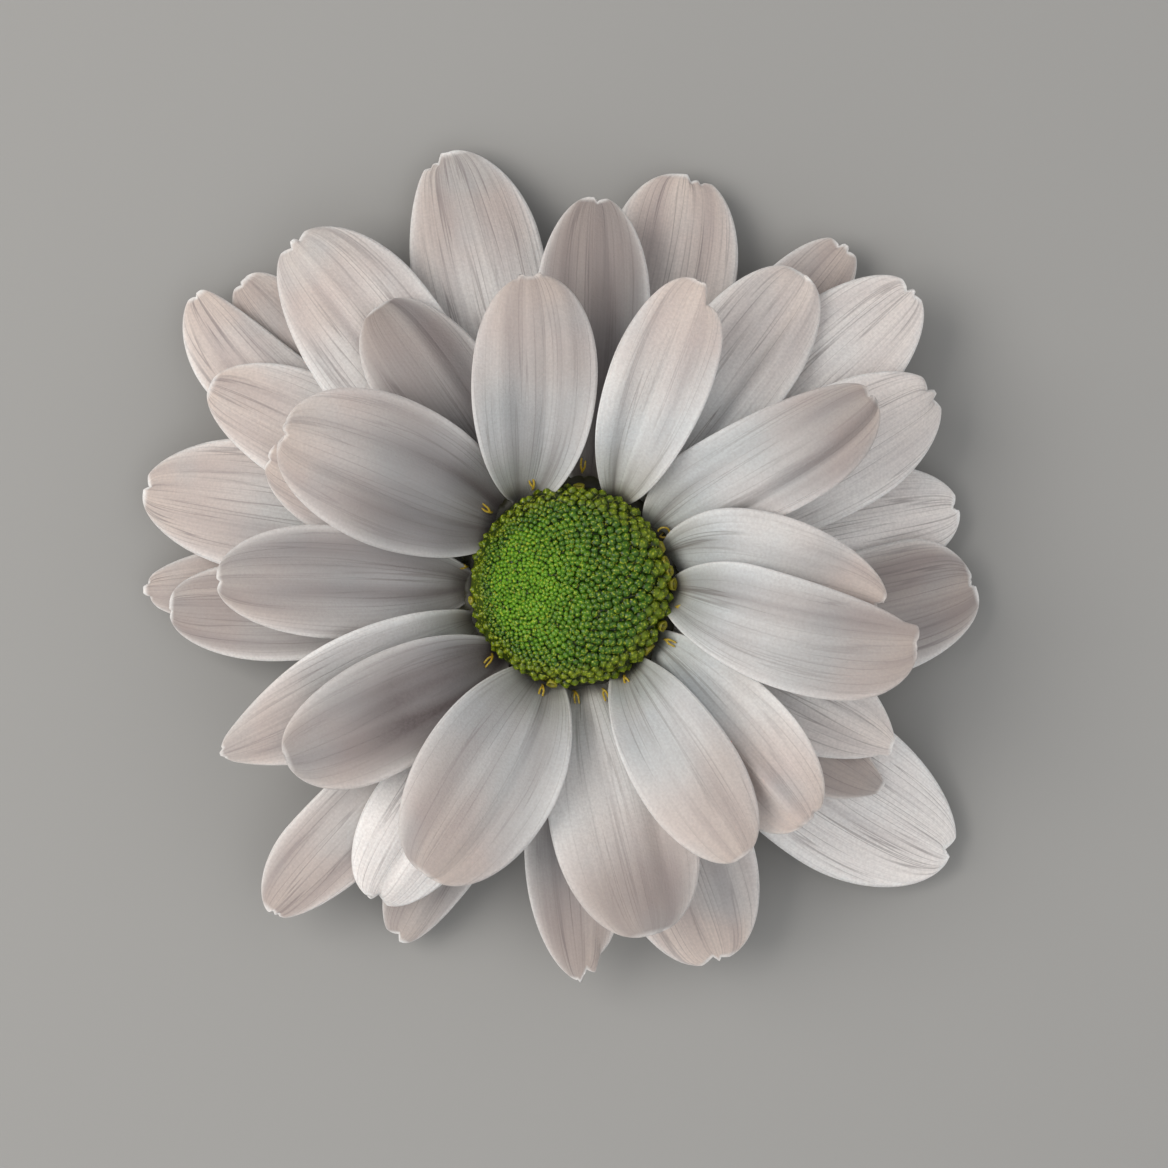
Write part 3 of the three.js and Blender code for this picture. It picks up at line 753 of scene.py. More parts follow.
# %% [markdown]
# ### Petal finish
# Petal tissue is a thin layer of water-filled cells between two velvety skins. It has almost no
# pigment, so it looks white where the light meets it straight on, and mauve or peach where it passes
# through. An image would blur when seen close up, so the colour is mixed from noises instead. They
# read the petal's own UV map, in millimetres along and across, which makes every streak follow the
# petal from its foot to its tip.

# %% Petal colours
PATCH_SIZE = 8.0
GRAIN_SIZE = 0.22
# Colour along the petal from its foot to its tip: cool white near the foot and warmer towards the tip. The
# first two stops are painted shade, which turns the very foot dark olive.
PETAL_BASE_AND_FOOT_SHADE = [
    (0.0, "#47462e"), (0.04, "#90927c"), (0.11, "#c7cac5"), (0.3, "#d6d9da"), (0.55, "#d9d7d5"),
    (0.8, "#d6cac4"), (1.0, "#d9cac0"),
]
# Noises drawn out along the petal: the spacing across in mm, how many spacings long, and the detail.
PETAL_NOISES = {
    "veins": (0.7, 40, 1.5),
    "breaks": (1.7, 6, 1),
    "threads": (0.2, 60, 1),
    "bands": (2.6, 9, 1.5),
}
# Fades: the number that each follows, its values there, and the shares that it gives at them.
PETAL_FADES = [
    ("outwards", "share", {1: 0.25, 2: 0.95, 3: 0.3, 4: 1}),
    # The feet fade carries painted shade onto the foot of the petal.
    ("feet", "share", {1: 0.5, 2: 0.05}),
    ("uneven", "bands", {1: 0.3, 2: 0.65, 3: 0.7, 4: 1}),
]
# Layers over the base colour, from the lowest up: the number that a layer follows, the values where
# it starts and where it is full, its share there, a number that it fades with, and its colour.
PETAL_LAYERS = [
    ("bands", 0.42, 0.7, 0.55, "outwards", "#a29393"),
    # Painted shade: dark olive bands near the foot.
    ("bands", 0.45, 0.75, 0.4, "feet", "#7d7b6f"),
    ("patches", 0.5, 0.72, 0.6, "outwards", "#cebfb6"),
    ("patches", 0.5, 0.3, 0.4, None, "#bfc9cc"),
    # A tint number below nothing paints the petal whiter: painted light, and partly its own paler tissue.
    ("tone", 0, -1, 0.8, None, "#fffcfa"),
    ("line", 0, 1, 0.6, "lined", "#766c6d"),
    # Painted shade: the veins darker near the foot.
    ("line", 0, 1, 0.5, "feet", "#63604f"),
    ("threads", 0.4, 0.7, 0.2, "lined", "#8b8284"),
    # Painted shade in the grooves, darker still near the foot.
    ("groove", 0, 1.2, 0.4, None, "#82777a"),
    ("groove", 0, 1.2, 0.45, "feet", "#5b5846"),
    # A tint number above nothing darkens the petal: painted shade, and partly its own dusky tint.
    ("tone", 0, 1.8, 1, "uneven", "#5f5656"),
    # Painted highlight: a bright thin rim along the edge and the end.
    ("rim", 0, 1, 0.8, "lined", "#fffdfb"),
    ("grain", 0.35, 0.65, 0.16, None, "#8d8585"),
]
# What the bump follows, and how strongly.
PETAL_BUMP = [("threads", 0.6), ("line", -0.6), ("grain", 1.0)]

print("the petal's colour has", len(PETAL_LAYERS), "layers")

# %% Petal material


def petal_numbers(tree, places):
    """The numbers that the petal's colour follows: those that its points carry, the drawn-out
    noises, two even ones, the fades, and thin lines where the vein noise crosses its middle value."""
    numbers = {}
    for name in ("share", "rim", "groove", "tone", "lined"):
        numbers[name] = add_node(tree, "Attribute", attribute_name=name).outputs["Fac"]
    for name, (spacing, stretch, detail) in PETAL_NOISES.items():
        scale = (1 / spacing, 1 / (spacing * stretch), 1)
        drawn = add_node(tree, "Mapping", {"Vector": places["UV"], "Scale": scale}).outputs[0]
        numbers[name] = add_node(tree, "TexNoise", {"Vector": drawn, "Scale": 1, "Detail": detail}).outputs[0]
    for name, size in (("patches", PATCH_SIZE), ("grain", GRAIN_SIZE)):
        even = {"Vector": places["Object"], "Scale": 1000 / size, "Detail": 1.5}
        numbers[name] = add_node(tree, "TexNoise", even).outputs[0]
    for name, follows, reading in PETAL_FADES:
        numbers[name] = add_node(tree, "MapRange", {"Value": numbers[follows], **reading}).outputs[0]
    off = add_node(tree, "Math", {0: numbers["veins"], 1: 0.5}, operation="SUBTRACT").outputs[0]
    off = add_node(tree, "Math", {0: off}, operation="ABSOLUTE").outputs[0]
    line = add_node(tree, "MapRange", {"Value": off, 2: 0.03, 3: 1, 4: 0}).outputs[0]
    there = add_node(tree, "MapRange", {"Value": numbers["breaks"], 1: 0.34, 2: 0.58}).outputs[0]
    numbers["line"] = add_node(tree, "Math", {0: line, 1: there}, operation="MULTIPLY").outputs[0]
    return numbers


def petal_finish():
    """White petal tissue: a soft satin surface, with light that spreads under the skin. Cool near
    the foot and warmer towards the tip, with thin dark veins and mauve bands. Painted shade darkens
    the very foot and the grooves. Each petal's tint number paints shade or light on it besides its own
    tint, and a painted highlight makes a bright thin rim."""
    material, tree, shader = new_material("white_petal_tissue", {
        "Roughness": 0.55, "Specular IOR Level": 0.35, "Subsurface Weight": 0.25,
        "Subsurface Radius": (1.0, 0.86, 0.8), "Subsurface Scale": 0.4 * MM,
        "Sheen Weight": 0.1, "Sheen Roughness": 0.4})
    numbers = petal_numbers(tree, add_node(tree, "TexCoord").outputs)
    mixed = add_node(tree, "ValToRGB", {"Fac": numbers["share"]}, stops=PETAL_BASE_AND_FOOT_SHADE).outputs[0]
    for follows, start, full, most, fades_with, colour in PETAL_LAYERS:
        reading = {"Value": numbers[follows], 1: start, 2: full, 4: most}
        layer = add_node(tree, "MapRange", reading).outputs[0]
        if fades_with:
            pair = {0: layer, 1: numbers[fades_with]}
            layer = add_node(tree, "Math", pair, operation="MULTIPLY").outputs[0]
        mixed = add_node(tree, "Mix", {0: layer, 6: mixed, 7: linear(colour)}, data_type="RGBA").outputs[2]
    tree.links.new(mixed, shader.inputs["Base Color"])

    height = 0.0
    for follows, size in PETAL_BUMP:
        part = {0: numbers[follows], 1: size, 2: height}
        height = add_node(tree, "Math", part, operation="MULTIPLY_ADD").outputs[0]
    bump = add_node(tree, "Bump", {"Height": height, "Strength": 0.6, "Distance": 0.05 * MM})
    tree.links.new(bump.outputs[0], shader.inputs["Normal"])
    return material


petal_tissue = petal_finish()
print("petal finish has", len(petal_tissue.node_tree.nodes), "nodes")

# %% Petal pieces
GROUPS = {
    "outer_petals": ("outer",),
    "middle_petals": ("middle",),
    "inner_petals": ("tall", "inner", "broad"),
}

for name, rows in GROUPS.items():
    members = [dressed_petal(number) for number, petal in enumerate(PETALS) if petal.row in rows]
    hand_over(build_blades(name, members, petal_tissue), "ray_florets")

# %% [markdown]
# ## Collar of petal tubes
# Below the petals their tubes stand side by side in a tight ring round the disc. They show only in
# the chinks between petals and from the side, so one fluted ring stands for all of them: a profile
# turned about the bloom's axis, with a shallow flute between each tube and the next.

# %% Turned shapes


def swept(profile, sides, swell=None):
    """Rings of points, one for each pair of radius and height in the profile, round the vertical
    axis. swell gives a factor on the radius for each radius and angle."""
    profile = np.asarray(profile, float)
    angle = np.arange(sides) / sides * TURN
    radius = profile[:, :1] * (np.ones(sides) if swell is None else swell(profile[:, :1], angle))
    height = np.broadcast_to(profile[:, 1:], radius.shape)
    return np.stack([radius * np.cos(angle), radius * np.sin(angle), height], -1)


def turned(profile, sides, swell=None):
    """The points and faces of a closed shape turned about the vertical axis. Its profile runs from
    the axis at the top, out and down, to the axis at the bottom."""
    ends = [[0, 0, profile[0][1]], [0, 0, profile[-1][1]]]
    points = np.concatenate([swept(profile[1:-1], sides, swell).reshape(-1, 3), ends])
    return points, capped_faces(len(profile) - 2, sides)


def ring_of(profile, sides, swell):
    """A closed profile, given anticlockwise in radius and height, turned into a ring."""
    points = swept(profile, sides, swell).transpose(1, 0, 2)
    return points.reshape(-1, 3), [grid_faces(sides, len(profile), wrap=True, closed=True)]


print("a turned cone of 6 sides has", len(turned([(0, 2), (1, 0), (0, 0)], 6)[0]), "points")

# %% Collar piece
TUBES = len(PETALS)
SIDES_OF_TUBE = 8
COLLAR_FOOT, COLLAR_RISE = 5.7, 2.8
COLLAR_PROFILE = [
    (7.35, COLLAR_FOOT), (9.0, COLLAR_FOOT), (9.5, 6.0), (9.7, 6.8), (9.55, 7.8), (9.1, 8.35),
    (8.5, 8.5), (7.8, 8.3), (7.35, 7.8),
]
FLUTE_DEPTH = 0.035
FLUTES_FROM, FLUTES_OVER = 8.4, 0.8


def flutes(radius, angle):
    """A factor on the radius: less by the flute's depth where two tubes meet, on the outer wall."""
    outside = np.clip((radius - FLUTES_FROM) / FLUTES_OVER, 0, 1)
    return 1 - FLUTE_DEPTH * outside * (1 - np.abs(np.sin(angle * TUBES / 2)) ** 0.6)


def tube_finish():
    """The tubes' skin: waxy and greenish white low down, with painted shade that turns it dark olive towards
    the top, where it stands in the gap between the petals.
    """
    material, tree, shader = new_material("tube_skin_painted_gap_shade", {"Roughness": 0.5})
    rise = add_node(tree, "Attribute", attribute_name="rise").outputs["Fac"]
    # Painted shade: the ramp darkens the skin towards the top of the collar.
    skin = add_node(tree, "ValToRGB", {"Fac": rise}, stops=[
        (0.0, "#a7ad86"), (0.55, "#8a8e68"), (0.85, "#3b3a24"), (1.0, "#2d2b1b")])
    tree.links.new(skin.outputs[0], shader.inputs["Base Color"])
    return material


points, faces = ring_of(COLLAR_PROFILE, TUBES * SIDES_OF_TUBE, flutes)
rise = (points[:, 2] - COLLAR_FOOT) / COLLAR_RISE
collar = build_mesh("petal_tubes", points, faces, tube_finish(), None, {"rise": rise})
hand_over(collar, "ray_florets")

# %% [markdown]
# ## Disc florets: the green centre
# The disc is a dome packed with over a thousand tiny closed florets. They open from the rim inwards,
# so the rim's buds are the largest and the yellowest, and the youngest, finest ones lie where growth
# is latest. In this bloom that place is left of the middle.
#
# Buds on any seed head follow a spiral of golden angles. To move its centre aside, the flat spiral
# is carried through a Moebius turn of the unit disc, which keeps small circles round and only
# changes their size, so the buds stay evenly packed while they grow from left to right.

# %% Dome
DISC_RADIUS, DISC_RIM_HEIGHT, DISC_CROWN = 8.5, 10.2, 14.2
DISC_RISE = DISC_CROWN - DISC_RIM_HEIGHT
TURNED_UP = 0.02


def dome_height(points):
    """The height of the dome over a place: an ellipse from its rim to its crown."""
    share = (points ** 2).sum(-1) / DISC_RADIUS ** 2
    return DISC_RIM_HEIGHT + DISC_RISE * np.sqrt(np.clip(1 - share, 0, 1))


def dome_normal(points, heights):
    """The ellipse's outward direction, raised a little, because buds turn towards the light."""
    slope = (heights - DISC_RIM_HEIGHT) / DISC_RISE ** 2
    return unit(np.concatenate([points / DISC_RADIUS ** 2, slope[:, None] + TURNED_UP], -1))


print("dome:", 2 * DISC_RADIUS, "mm across, rising", round(DISC_RISE, 2), "mm over its rim")

# %% Bud places
GOLDEN_ANGLE = 137.508
INNER_BUDS = 1000
INNER_REACH = 7.6
YOUNGEST = -0.27
GROWTH = 0.6
# In the closest packing, each bud takes up the square of its spacing times this.
CLOSE_PACKING = 0.866
LEAST_RADIUS = 0.05
FINE_BELOW, FINE_OVER = 0.42, 0.14
STRAY, STRAY_OF_FINE = 0.11, 0.1
RIM_BUDS = 46
RIM_ROWS = [0.05, 0.23, 0.41]
RIM_STRAY, RIM_RISE_STRAY = 0.28, 0.05


def bud_spacing(points):
    """The space between buds at a place: that of a flat spiral whose steps grow outwards by a
    power, times the size of the turn's step there, (1 - a a) over the square of 1 + a q."""
    w = np.clip(np.linalg.norm(points, axis=-1) / INNER_REACH, LEAST_RADIUS, 1)
    w = w * np.exp(1j * np.arctan2(points[:, 1], points[:, 0]))
    q = (w - YOUNGEST) / (1 - YOUNGEST * w)
    even = INNER_REACH * np.sqrt(TURN * GROWTH / INNER_BUDS / CLOSE_PACKING)
    even = even * np.clip(np.abs(q), LEAST_RADIUS, 1) ** (1 - 0.5 / GROWTH)
    return even * (1 - YOUNGEST ** 2) / np.abs(1 + YOUNGEST * q) ** 2


def how_fine(points):
    """One where the youngest, finest buds are, and nothing where they are half again as wide."""
    return np.clip((FINE_BELOW - bud_spacing(points)) / FINE_OVER, 0, 1)


def inner_places(draw):
    """Golden-angle places, moved by the turn w = (q + a) / (1 + a q) on complex numbers, and then
    each by a small draw, which is larger where the buds are finest."""
    count = np.arange(INNER_BUDS)
    q = ((count + 0.5) / INNER_BUDS) ** GROWTH * np.exp(1j * np.radians(GOLDEN_ANGLE) * count)
    w = (q + YOUNGEST) / (1 + YOUNGEST * q)
    places = np.stack([w.real, w.imag], -1) * INNER_REACH
    stray = (STRAY + STRAY_OF_FINE * how_fine(places)) * bud_spacing(places)
    return places + draw.normal(0, 1, places.shape) * stray[:, None]


def rim_places(draw):
    """Loose rows of larger buds, low round the dome's steep rim: places on the ellipse at small
    angles over its edge, in a ring that swells and shrinks a little."""
    row = np.repeat(np.arange(len(RIM_ROWS)), RIM_BUDS)
    step = np.tile(np.arange(RIM_BUDS), len(RIM_ROWS)) + row / 2
    angle = (step + draw.uniform(-RIM_STRAY, RIM_STRAY, len(row))) * TURN / RIM_BUDS
    rise = np.array(RIM_ROWS)[row] + draw.uniform(-RIM_RISE_STRAY, RIM_RISE_STRAY, len(row))
    swell = 0.012 * np.cos(3 * angle + 2.0) + 0.012 * np.cos(7 * angle) - 0.01
    radius = DISC_RADIUS * np.cos(rise) * (1 + swell)
    return np.stack([radius * np.cos(angle), radius * np.sin(angle)], -1)


bud_draw = np.random.default_rng(SEED)
inner = inner_places(bud_draw)
rim_ring = rim_places(bud_draw)
spacing = bud_spacing(inner)
print("bud spacing from", spacing.min().round(2), "to", spacing.max().round(2), "mm")

# %% Bud shapes
BUD_SIDES = 10
LOBES, LOBE_SIZE = 5, 0.07
TIPPED, SUNK_STRAY = 0.1, 0.12
# A direction that no bud points in, from which each bud's turn is counted.
BUD_SIDEWAYS = [0.3, 1.0, 0.2]
BUD_PROFILE = [(0, 1.14), (0.15, 1.04), (0.5, 0.88), (0.82, 0.58), (1.0, 0.1), (0.9, -0.5), (0, -1.0)]
OPEN_PROFILE = [
    (0, 0.2), (0.35, 0.35), (0.6, 0.85), (0.86, 1.05), (0.9, 0.8), (0.75, 0.2), (0.6, -0.9), (0, -1.0),
]


def lobes(radius, angle):
    """Five low lobes, which the joined tips of a floret's five teeth make."""
    return 1 + LOBE_SIZE * np.cos(LOBES * angle) * np.ones_like(radius)


def stand_buds(profile, places, heights, sizes, tall, draw):
    """Copies of one small shape, each turned, tipped and set along the dome's outward direction."""
    shape, faces = turned(profile, BUD_SIDES, lobes)
    normal = unit(dome_normal(places, heights) + draw.normal(0, TIPPED, (len(places), 3)))
    side = unit(np.cross(normal, BUD_SIDEWAYS))
    front = np.cross(normal, side)
    spin = draw.uniform(0, TURN, len(places))[:, None]
    first = side * np.cos(spin) + front * np.sin(spin)
    second = np.cross(normal, first)
    sunk = sizes * (tall + draw.normal(0, SUNK_STRAY, len(places)))
    centre = np.concatenate([places, heights[:, None]], -1) - normal * sunk[:, None]
    local = np.stack([first, second, normal * tall], 1) * sizes[:, None, None]
    points = centre[:, None] + shape[None] @ local
    low, high = shape[:, 2].min(), shape[:, 2].max()
    level = np.broadcast_to((shape[:, 2] - low) / (high - low), points.shape[:2])
    faces = [repeat_faces(group, len(places), len(shape)) for group in faces]
    return points.reshape(-1, 3), faces, level.ravel()


def per_bud(numbers, profile):
    """One number for each bud, given to each of its points."""
    return np.repeat(numbers, (len(profile) - 2) * BUD_SIDES + 2)


print("a bud has", (len(BUD_PROFILE) - 1) * BUD_SIDES, "faces")

# %% Disc finish


def disc_finish(name, young, green, ripe, tip):
    """Closed florets: firm, waxy little beads. The wax gives each a small highlight, and a painted
    highlight in the tip colour lightens the top of each bead. The green is yellower where the buds are
    riper, and painted shade darkens it down the beads' sides and in the crevices between them. Pale
    specks, which are painted glints, and a fine bump break it up."""
    material, tree, shader = new_material(name, {
        "Roughness": 0.28, "Specular IOR Level": 0.32, "Subsurface Weight": 0.15,
        "Subsurface Radius": (0.6, 1.0, 0.3), "Subsurface Scale": 0.25 * MM})
    places = add_node(tree, "TexCoord").outputs["Object"]
    age, level = (add_node(tree, "Attribute", attribute_name=key).outputs["Fac"] for key in ("age", "level"))
    mottle, fine = (
        add_node(tree, "TexNoise", {"Vector": places, "Scale": 1000 / size, "Detail": detail}).outputs[0]
        for size, detail in ((1.3, 3), (0.2, 1.5)))
    shift = add_node(tree, "MapRange", {"Value": mottle, 1: 0.3, 2: 0.7, 3: -0.15, 4: 0.15}).outputs[0]
    ripeness = add_node(tree, "Math", {0: age, 1: shift}, operation="ADD").outputs[0]
    body = add_node(tree, "ValToRGB", {"Fac": ripeness}, stops=[
        (0.0, young), (0.35, green), (0.6, green), (1.0, ripe)]).outputs[0]
    # Painted shade: darker down each bead's sides and in the bed between the beads.
    shade = add_node(tree, "ValToRGB", {"Fac": level}, stops=[
        (0.55, "#22331a"), (0.74, "#7d8c64"), (0.85, "#e9ecdf"), (0.95, "#ffffff")]).outputs[0]
    mixed = add_node(tree, "Mix", {0: 1.0, 6: body, 7: shade}, data_type="RGBA",
                     blend_type="MULTIPLY").outputs[2]
    # Painted highlights: the tip colour on the top of each bead, and pale specks where the fine noise is
    # high.
    for follows, start, full in ((level, 0.94, 1.0), (fine, 0.56, 0.7)):
        share = add_node(tree, "MapRange", {"Value": follows, 1: start, 2: full, 4: 0.6}).outputs[0]
        mixed = add_node(tree, "Mix", {0: share, 6: mixed, 7: linear(tip)}, data_type="RGBA").outputs[2]
    tree.links.new(mixed, shader.inputs["Base Color"])
    bump = add_node(tree, "Bump", {"Height": fine, "Strength": 0.7, "Distance": 0.05 * MM})
    tree.links.new(bump.outputs[0], shader.inputs["Normal"])
    return material


# The last colour of each finish is that of its painted highlights and specks.
closed_buds = disc_finish("closed_floret_buds", "#60931a", "#3c630e", "#66780c", "#bfc73c")
open_buds = disc_finish("open_floret_mouths", "#7d7d1b", "#7d7d1b", "#87811f", "#b9b248")
print("disc finishes:", closed_buds.name, open_buds.name)

# %% Disc bed
RIPE_FROM, RIPE_OVER = 5.9, 2.4
BED_SIDES = 72
BED_DEPTH, BED_LEAST_DEPTH = 0.4, 0.05
BED_LEVEL = 0.62
BED_MIDDLE = [0, 0, 8.0]
BED_FOOT = [(8.3, 9.8), (7.9, 9.45), (7.0, 9.4), (7.0, 5.7), (0, 5.7)]


def age_at(points):
    """How ripe a bud is: low in the young field, rising steeply over the last two and a half
    millimetres before the rim."""
    radius = np.linalg.norm(points, axis=-1)
    side = np.clip((bud_spacing(points) - 0.3) / 0.3, 0, 1)
    return np.clip(0.4 * side + smooth((radius - RIPE_FROM) / RIPE_OVER), 0, 1)


def add_disc_piece(name, points, faces, material, age, level):
    """A piece of the disc, which takes the place of the plain one."""
    piece = build_mesh(name, points, faces, material, None, {"age": age, "level": level})
    hand_over(piece, "disc_florets")


rises = np.radians(np.linspace(90, 4, 16)[1:])
bed_profile = [(0, DISC_CROWN)]
bed_profile += [(DISC_RADIUS * np.cos(a), DISC_RIM_HEIGHT + DISC_RISE * np.sin(a)) for a in rises]
points, faces = turned(bed_profile + BED_FOOT, BED_SIDES)
over = points[:, 2] > DISC_RIM_HEIGHT
sunk = np.zeros(len(points))
sunk[over] = BED_DEPTH * bud_spacing(points[over, :2]) + BED_LEAST_DEPTH
points = points - unit(points - BED_MIDDLE) * sunk[:, None]
# The bed's level puts it in the dark of the painted shade between the buds, less dark where they are finest.
level = BED_LEVEL + 0.16 * how_fine(points[:, :2])
add_disc_piece("disc_bed", points, faces, closed_buds, age_at(points[:, :2]), level)

# %% Buds and open florets
BUD_FILL = 0.72
BUD_SPREAD = (0.86, 1.12)
BUD_TALL, RIM_BUD_TALL = 0.85, 1.2
RIM_SIZES = (0.5, 0.7)
# Arcs of the outermost row where florets have opened: the middle and half the width of each in
# degrees, and the chance that a floret there is open.
OPEN_ARCS = [(85, 25, 0.25), (-5, 35, 0.45)]
OPEN_ELSEWHERE = 0.06

sizes = BUD_FILL * spacing * bud_draw.uniform(*BUD_SPREAD, len(inner)) * (1 + 0.12 * how_fine(inner))
points, faces, level = stand_buds(
    BUD_PROFILE, inner, dome_height(inner), sizes, BUD_TALL, bud_draw)
add_disc_piece("young_buds", points, faces, closed_buds, per_bud(age_at(inner), BUD_PROFILE), level)

angle = np.degrees(np.arctan2(rim_ring[:, 1], rim_ring[:, 0]))
chance = OPEN_ELSEWHERE
for middle, reach, more in OPEN_ARCS:
    chance = np.where(np.abs(angle - middle) < reach, more, chance)
is_open = (bud_draw.uniform(0, 1, len(rim_ring)) < chance) & (np.arange(len(rim_ring)) < RIM_BUDS)
for name, chosen, profile, material in (("rim_buds", ~is_open, BUD_PROFILE, closed_buds),
                                        ("open_florets", is_open, OPEN_PROFILE, open_buds)):
    where = rim_ring[chosen]
    sizes = bud_draw.uniform(*RIM_SIZES, len(where)) * (0.84 + 0.16 * np.cos(np.radians(angle[chosen])))
    points, faces, level = stand_buds(
        profile, where, dome_height(where), sizes, RIM_BUD_TALL, bud_draw)
    add_disc_piece(name, points, faces, material, per_bud(age_at(where), profile), level)

# %% [markdown]
# ## Styles of the ray florets
# A ray floret has no stamens, only a thin yellow style that stands in the mouth of its tube and
# forks in two. Round the disc a dozen of them show between the petals' feet. Each is three fine
# tubes along curved paths: a stalk, and two arms that part and bend outwards. They are set where
# the photograph shows them, and their stalks start inside the petal that lies there.

# %% Thin tubes
TUBE_SIDES = 8
TUBE_POINT = 0.8
# A direction that no path runs along, from which the rings' turn is counted.
TUBE_SIDEWAYS = [0.23, 0.37, 0.9]


def tube(path, radius):
    """A thin closed tube along a path: at each step a ring across the path's direction, with a
    point at either end."""
    path = np.asarray(path, float)
    ahead = unit(np.gradient(path, axis=0))
    side = unit(np.cross(ahead, TUBE_SIDEWAYS))
    other = np.cross(side, ahead)
    angle = (np.arange(TUBE_SIDES) / TUBE_SIDES * TURN)[:, None]
    around = side[:, None] * np.cos(angle) + other[:, None] * np.sin(angle)
    rings = path[:, None] + around * np.broadcast_to(radius, len(path))[:, None, None]
    point = TUBE_POINT * np.min(radius)
    ends = path[[0, -1]] + ahead[[0, -1]] * [[-point], [point]]
    return np.concatenate([rings.reshape(-1, 3), ends]), capped_faces(len(path), TUBE_SIDES)


def join(shapes):
    """Several shapes as one: their points in a row, and their faces counted on."""
    points, groups, start = [], {}, 0
    for shape, faces in shapes:
        points.append(shape)
        for group in faces:
            groups.setdefault(group.shape[1], []).append(group + start)
        start += len(shape)
    return np.concatenate(points), [np.concatenate(group) for group in groups.values()]


print("a straight tube has", len(tube([[0, 0, 0], [0, 0, 1]], 0.1)[0]), "points")

# %% Style shapes
STYLE_RADIUS = 0.1
COLLAR_TOP, HIGHEST_FOOT = 8.4, 9.8
STALK_SUNK, STALK_RISE = 0.6, 1.5
ARM_LENGTH, ARM_PART = 0.95, 0.15


def top_of_petals():
    """The highest petal surface over each cell of the map."""
    ground = np.full((MAP_SIDE, MAP_SIDE), COLLAR_TOP)
    for number in range(len(PETALS)):
        rings, _, _ = dressed_petal(number)
        upper = rings[:, :FINE_ACROSS + 1]
        np.maximum.at(ground, cell_of(upper), upper[..., 2])
    return ground


def surface_at(foot, ground):
    """The height at which a style comes out of the petals."""
    return min(float(ground[cell_of(foot)]), HIGHEST_FOOT)


def forked_style(azimuth, radius, ground, draw):
    """Stalk and arms. An arm runs outwards by a sine of its share, parts to its side in an S-shaped
    step and lifts its tip a little."""
    foot = place(radius, azimuth, 0)
    base = surface_at(foot, ground) - STALK_SUNK
    t = np.linspace(0, 1, 8)[:, None]
    outward, sideways, up = place(1, azimuth, 0), place(1, azimuth + 90, 0), np.array([0.0, 0.0, 1.0])
    lean = draw.uniform(-0.25, 0.25)
    stalk = foot + up * (base + STALK_RISE * t) + sideways * lean * t * t
    stalk = stalk - outward * 0.12 * np.sin(np.pi * t)
    shapes = [tube(stalk, STYLE_RADIUS)]
    for hand in (-1, 1):
        run = ARM_LENGTH * draw.uniform(0.85, 1.1) * np.sin(t * 1.35)
        arm = stalk[-1] + outward * run + up * (0.4 * t + 0.12 * np.sin(t * 3))
        arm = arm + sideways * (hand * (ARM_PART * smooth(t * 4) + 0.02) + lean * t * 0.5)
        shapes.append(tube(arm, STYLE_RADIUS * (1 - 0.25 * t[:, 0])))
    return join(shapes)


def curled_style(azimuth, radius, ground):
    """One old style, curled round into an open ring."""
    turn = np.radians(np.linspace(-130, 170, 20))
    middle = place(radius, azimuth, 0)
    base = surface_at(middle, ground)
    rise = base + 0.9 + 0.25 * np.sin(turn / 2)
    ring = middle + np.stack([0.5 * np.cos(turn), 0.42 * np.sin(turn), rise], -1)
    stalk = np.linspace(middle + [0, 0, base - 0.5], ring[0], 6)
    return join([tube(stalk, 0.06), tube(ring, 0.085)])


print("a style's arms are", ARM_LENGTH, "mm long")

# %% Style piece
# Where the styles stand: the angle in degrees and the radius in mm.
STYLES = [
    (136.8, 9.15), (112.1, 8.8), (84.6, 9.7), (169.1, 8.9), (-139.6, 8.8), (-106.3, 8.7), (-88.9, 8.9),
    (-72.9, 9.1), (-58.9, 8.8), (-29.8, 9.1), (-11.9, 9.0), (53, 9.2),
]
CURLED_STYLE = (30, 8.95)

# The last colour is that of the painted glints in the pale specks.
style_finish = disc_finish("waxy_yellow_style", "#bb9e34", "#bb9e34", "#c3aa3f", "#d8cb76")
petal_tops = top_of_petals()
style_draw = np.random.default_rng(SEED + 1)
shapes = [forked_style(azimuth, radius, petal_tops, style_draw) for azimuth, radius in STYLES]
points, faces = join(shapes + [curled_style(*CURLED_STYLE, petal_tops)])
styles = build_mesh("ray_styles", points, faces, style_finish, None,
                    {"age": np.full(len(points), 0.5), "level": np.full(len(points), 0.9)})
hand_over(styles, "ray_florets")

# %% [markdown]
# ## Calyx: the green cup below
# The petals and the disc sit in a cup of small overlapping green leaves, called bracts, in three
# rows. Each has a raised midrib and a thin, dry, brownish margin. The cup narrows to the stem, which
# was cut off square just below the bloom. The photograph can't show this side, so it is built the
# way such blooms grow. The bracts are blades like the petals, and the cup is a turned profile.

# %% Calyx finish
STEM_RADIUS = 3.0


def cut_colour(tree, places):
    """The colour of the cut stem by the distance from the axis: pale pith inside a green ring."""
    apart = add_node(tree, "SeparateXYZ", {0: places}).outputs
    flat = add_node(tree, "CombineXYZ", {0: apart[0], 1: apart[1]}).outputs[0]
    radius = add_node(tree, "VectorMath", {0: flat}, operation="LENGTH").outputs["Value"]
    ring = add_node(tree, "Math", {0: radius, 1: 1000 / STEM_RADIUS}, operation="MULTIPLY").outputs[0]
    return add_node(tree, "ValToRGB", {"Fac": ring}, stops=[
        (0.0, "#e4e3c8"), (0.55, "#d3d6ae"), (0.7, "#a3b070"), (0.8, "#c2c795"), (0.93, "#6f8745"),
    ]).outputs[0]


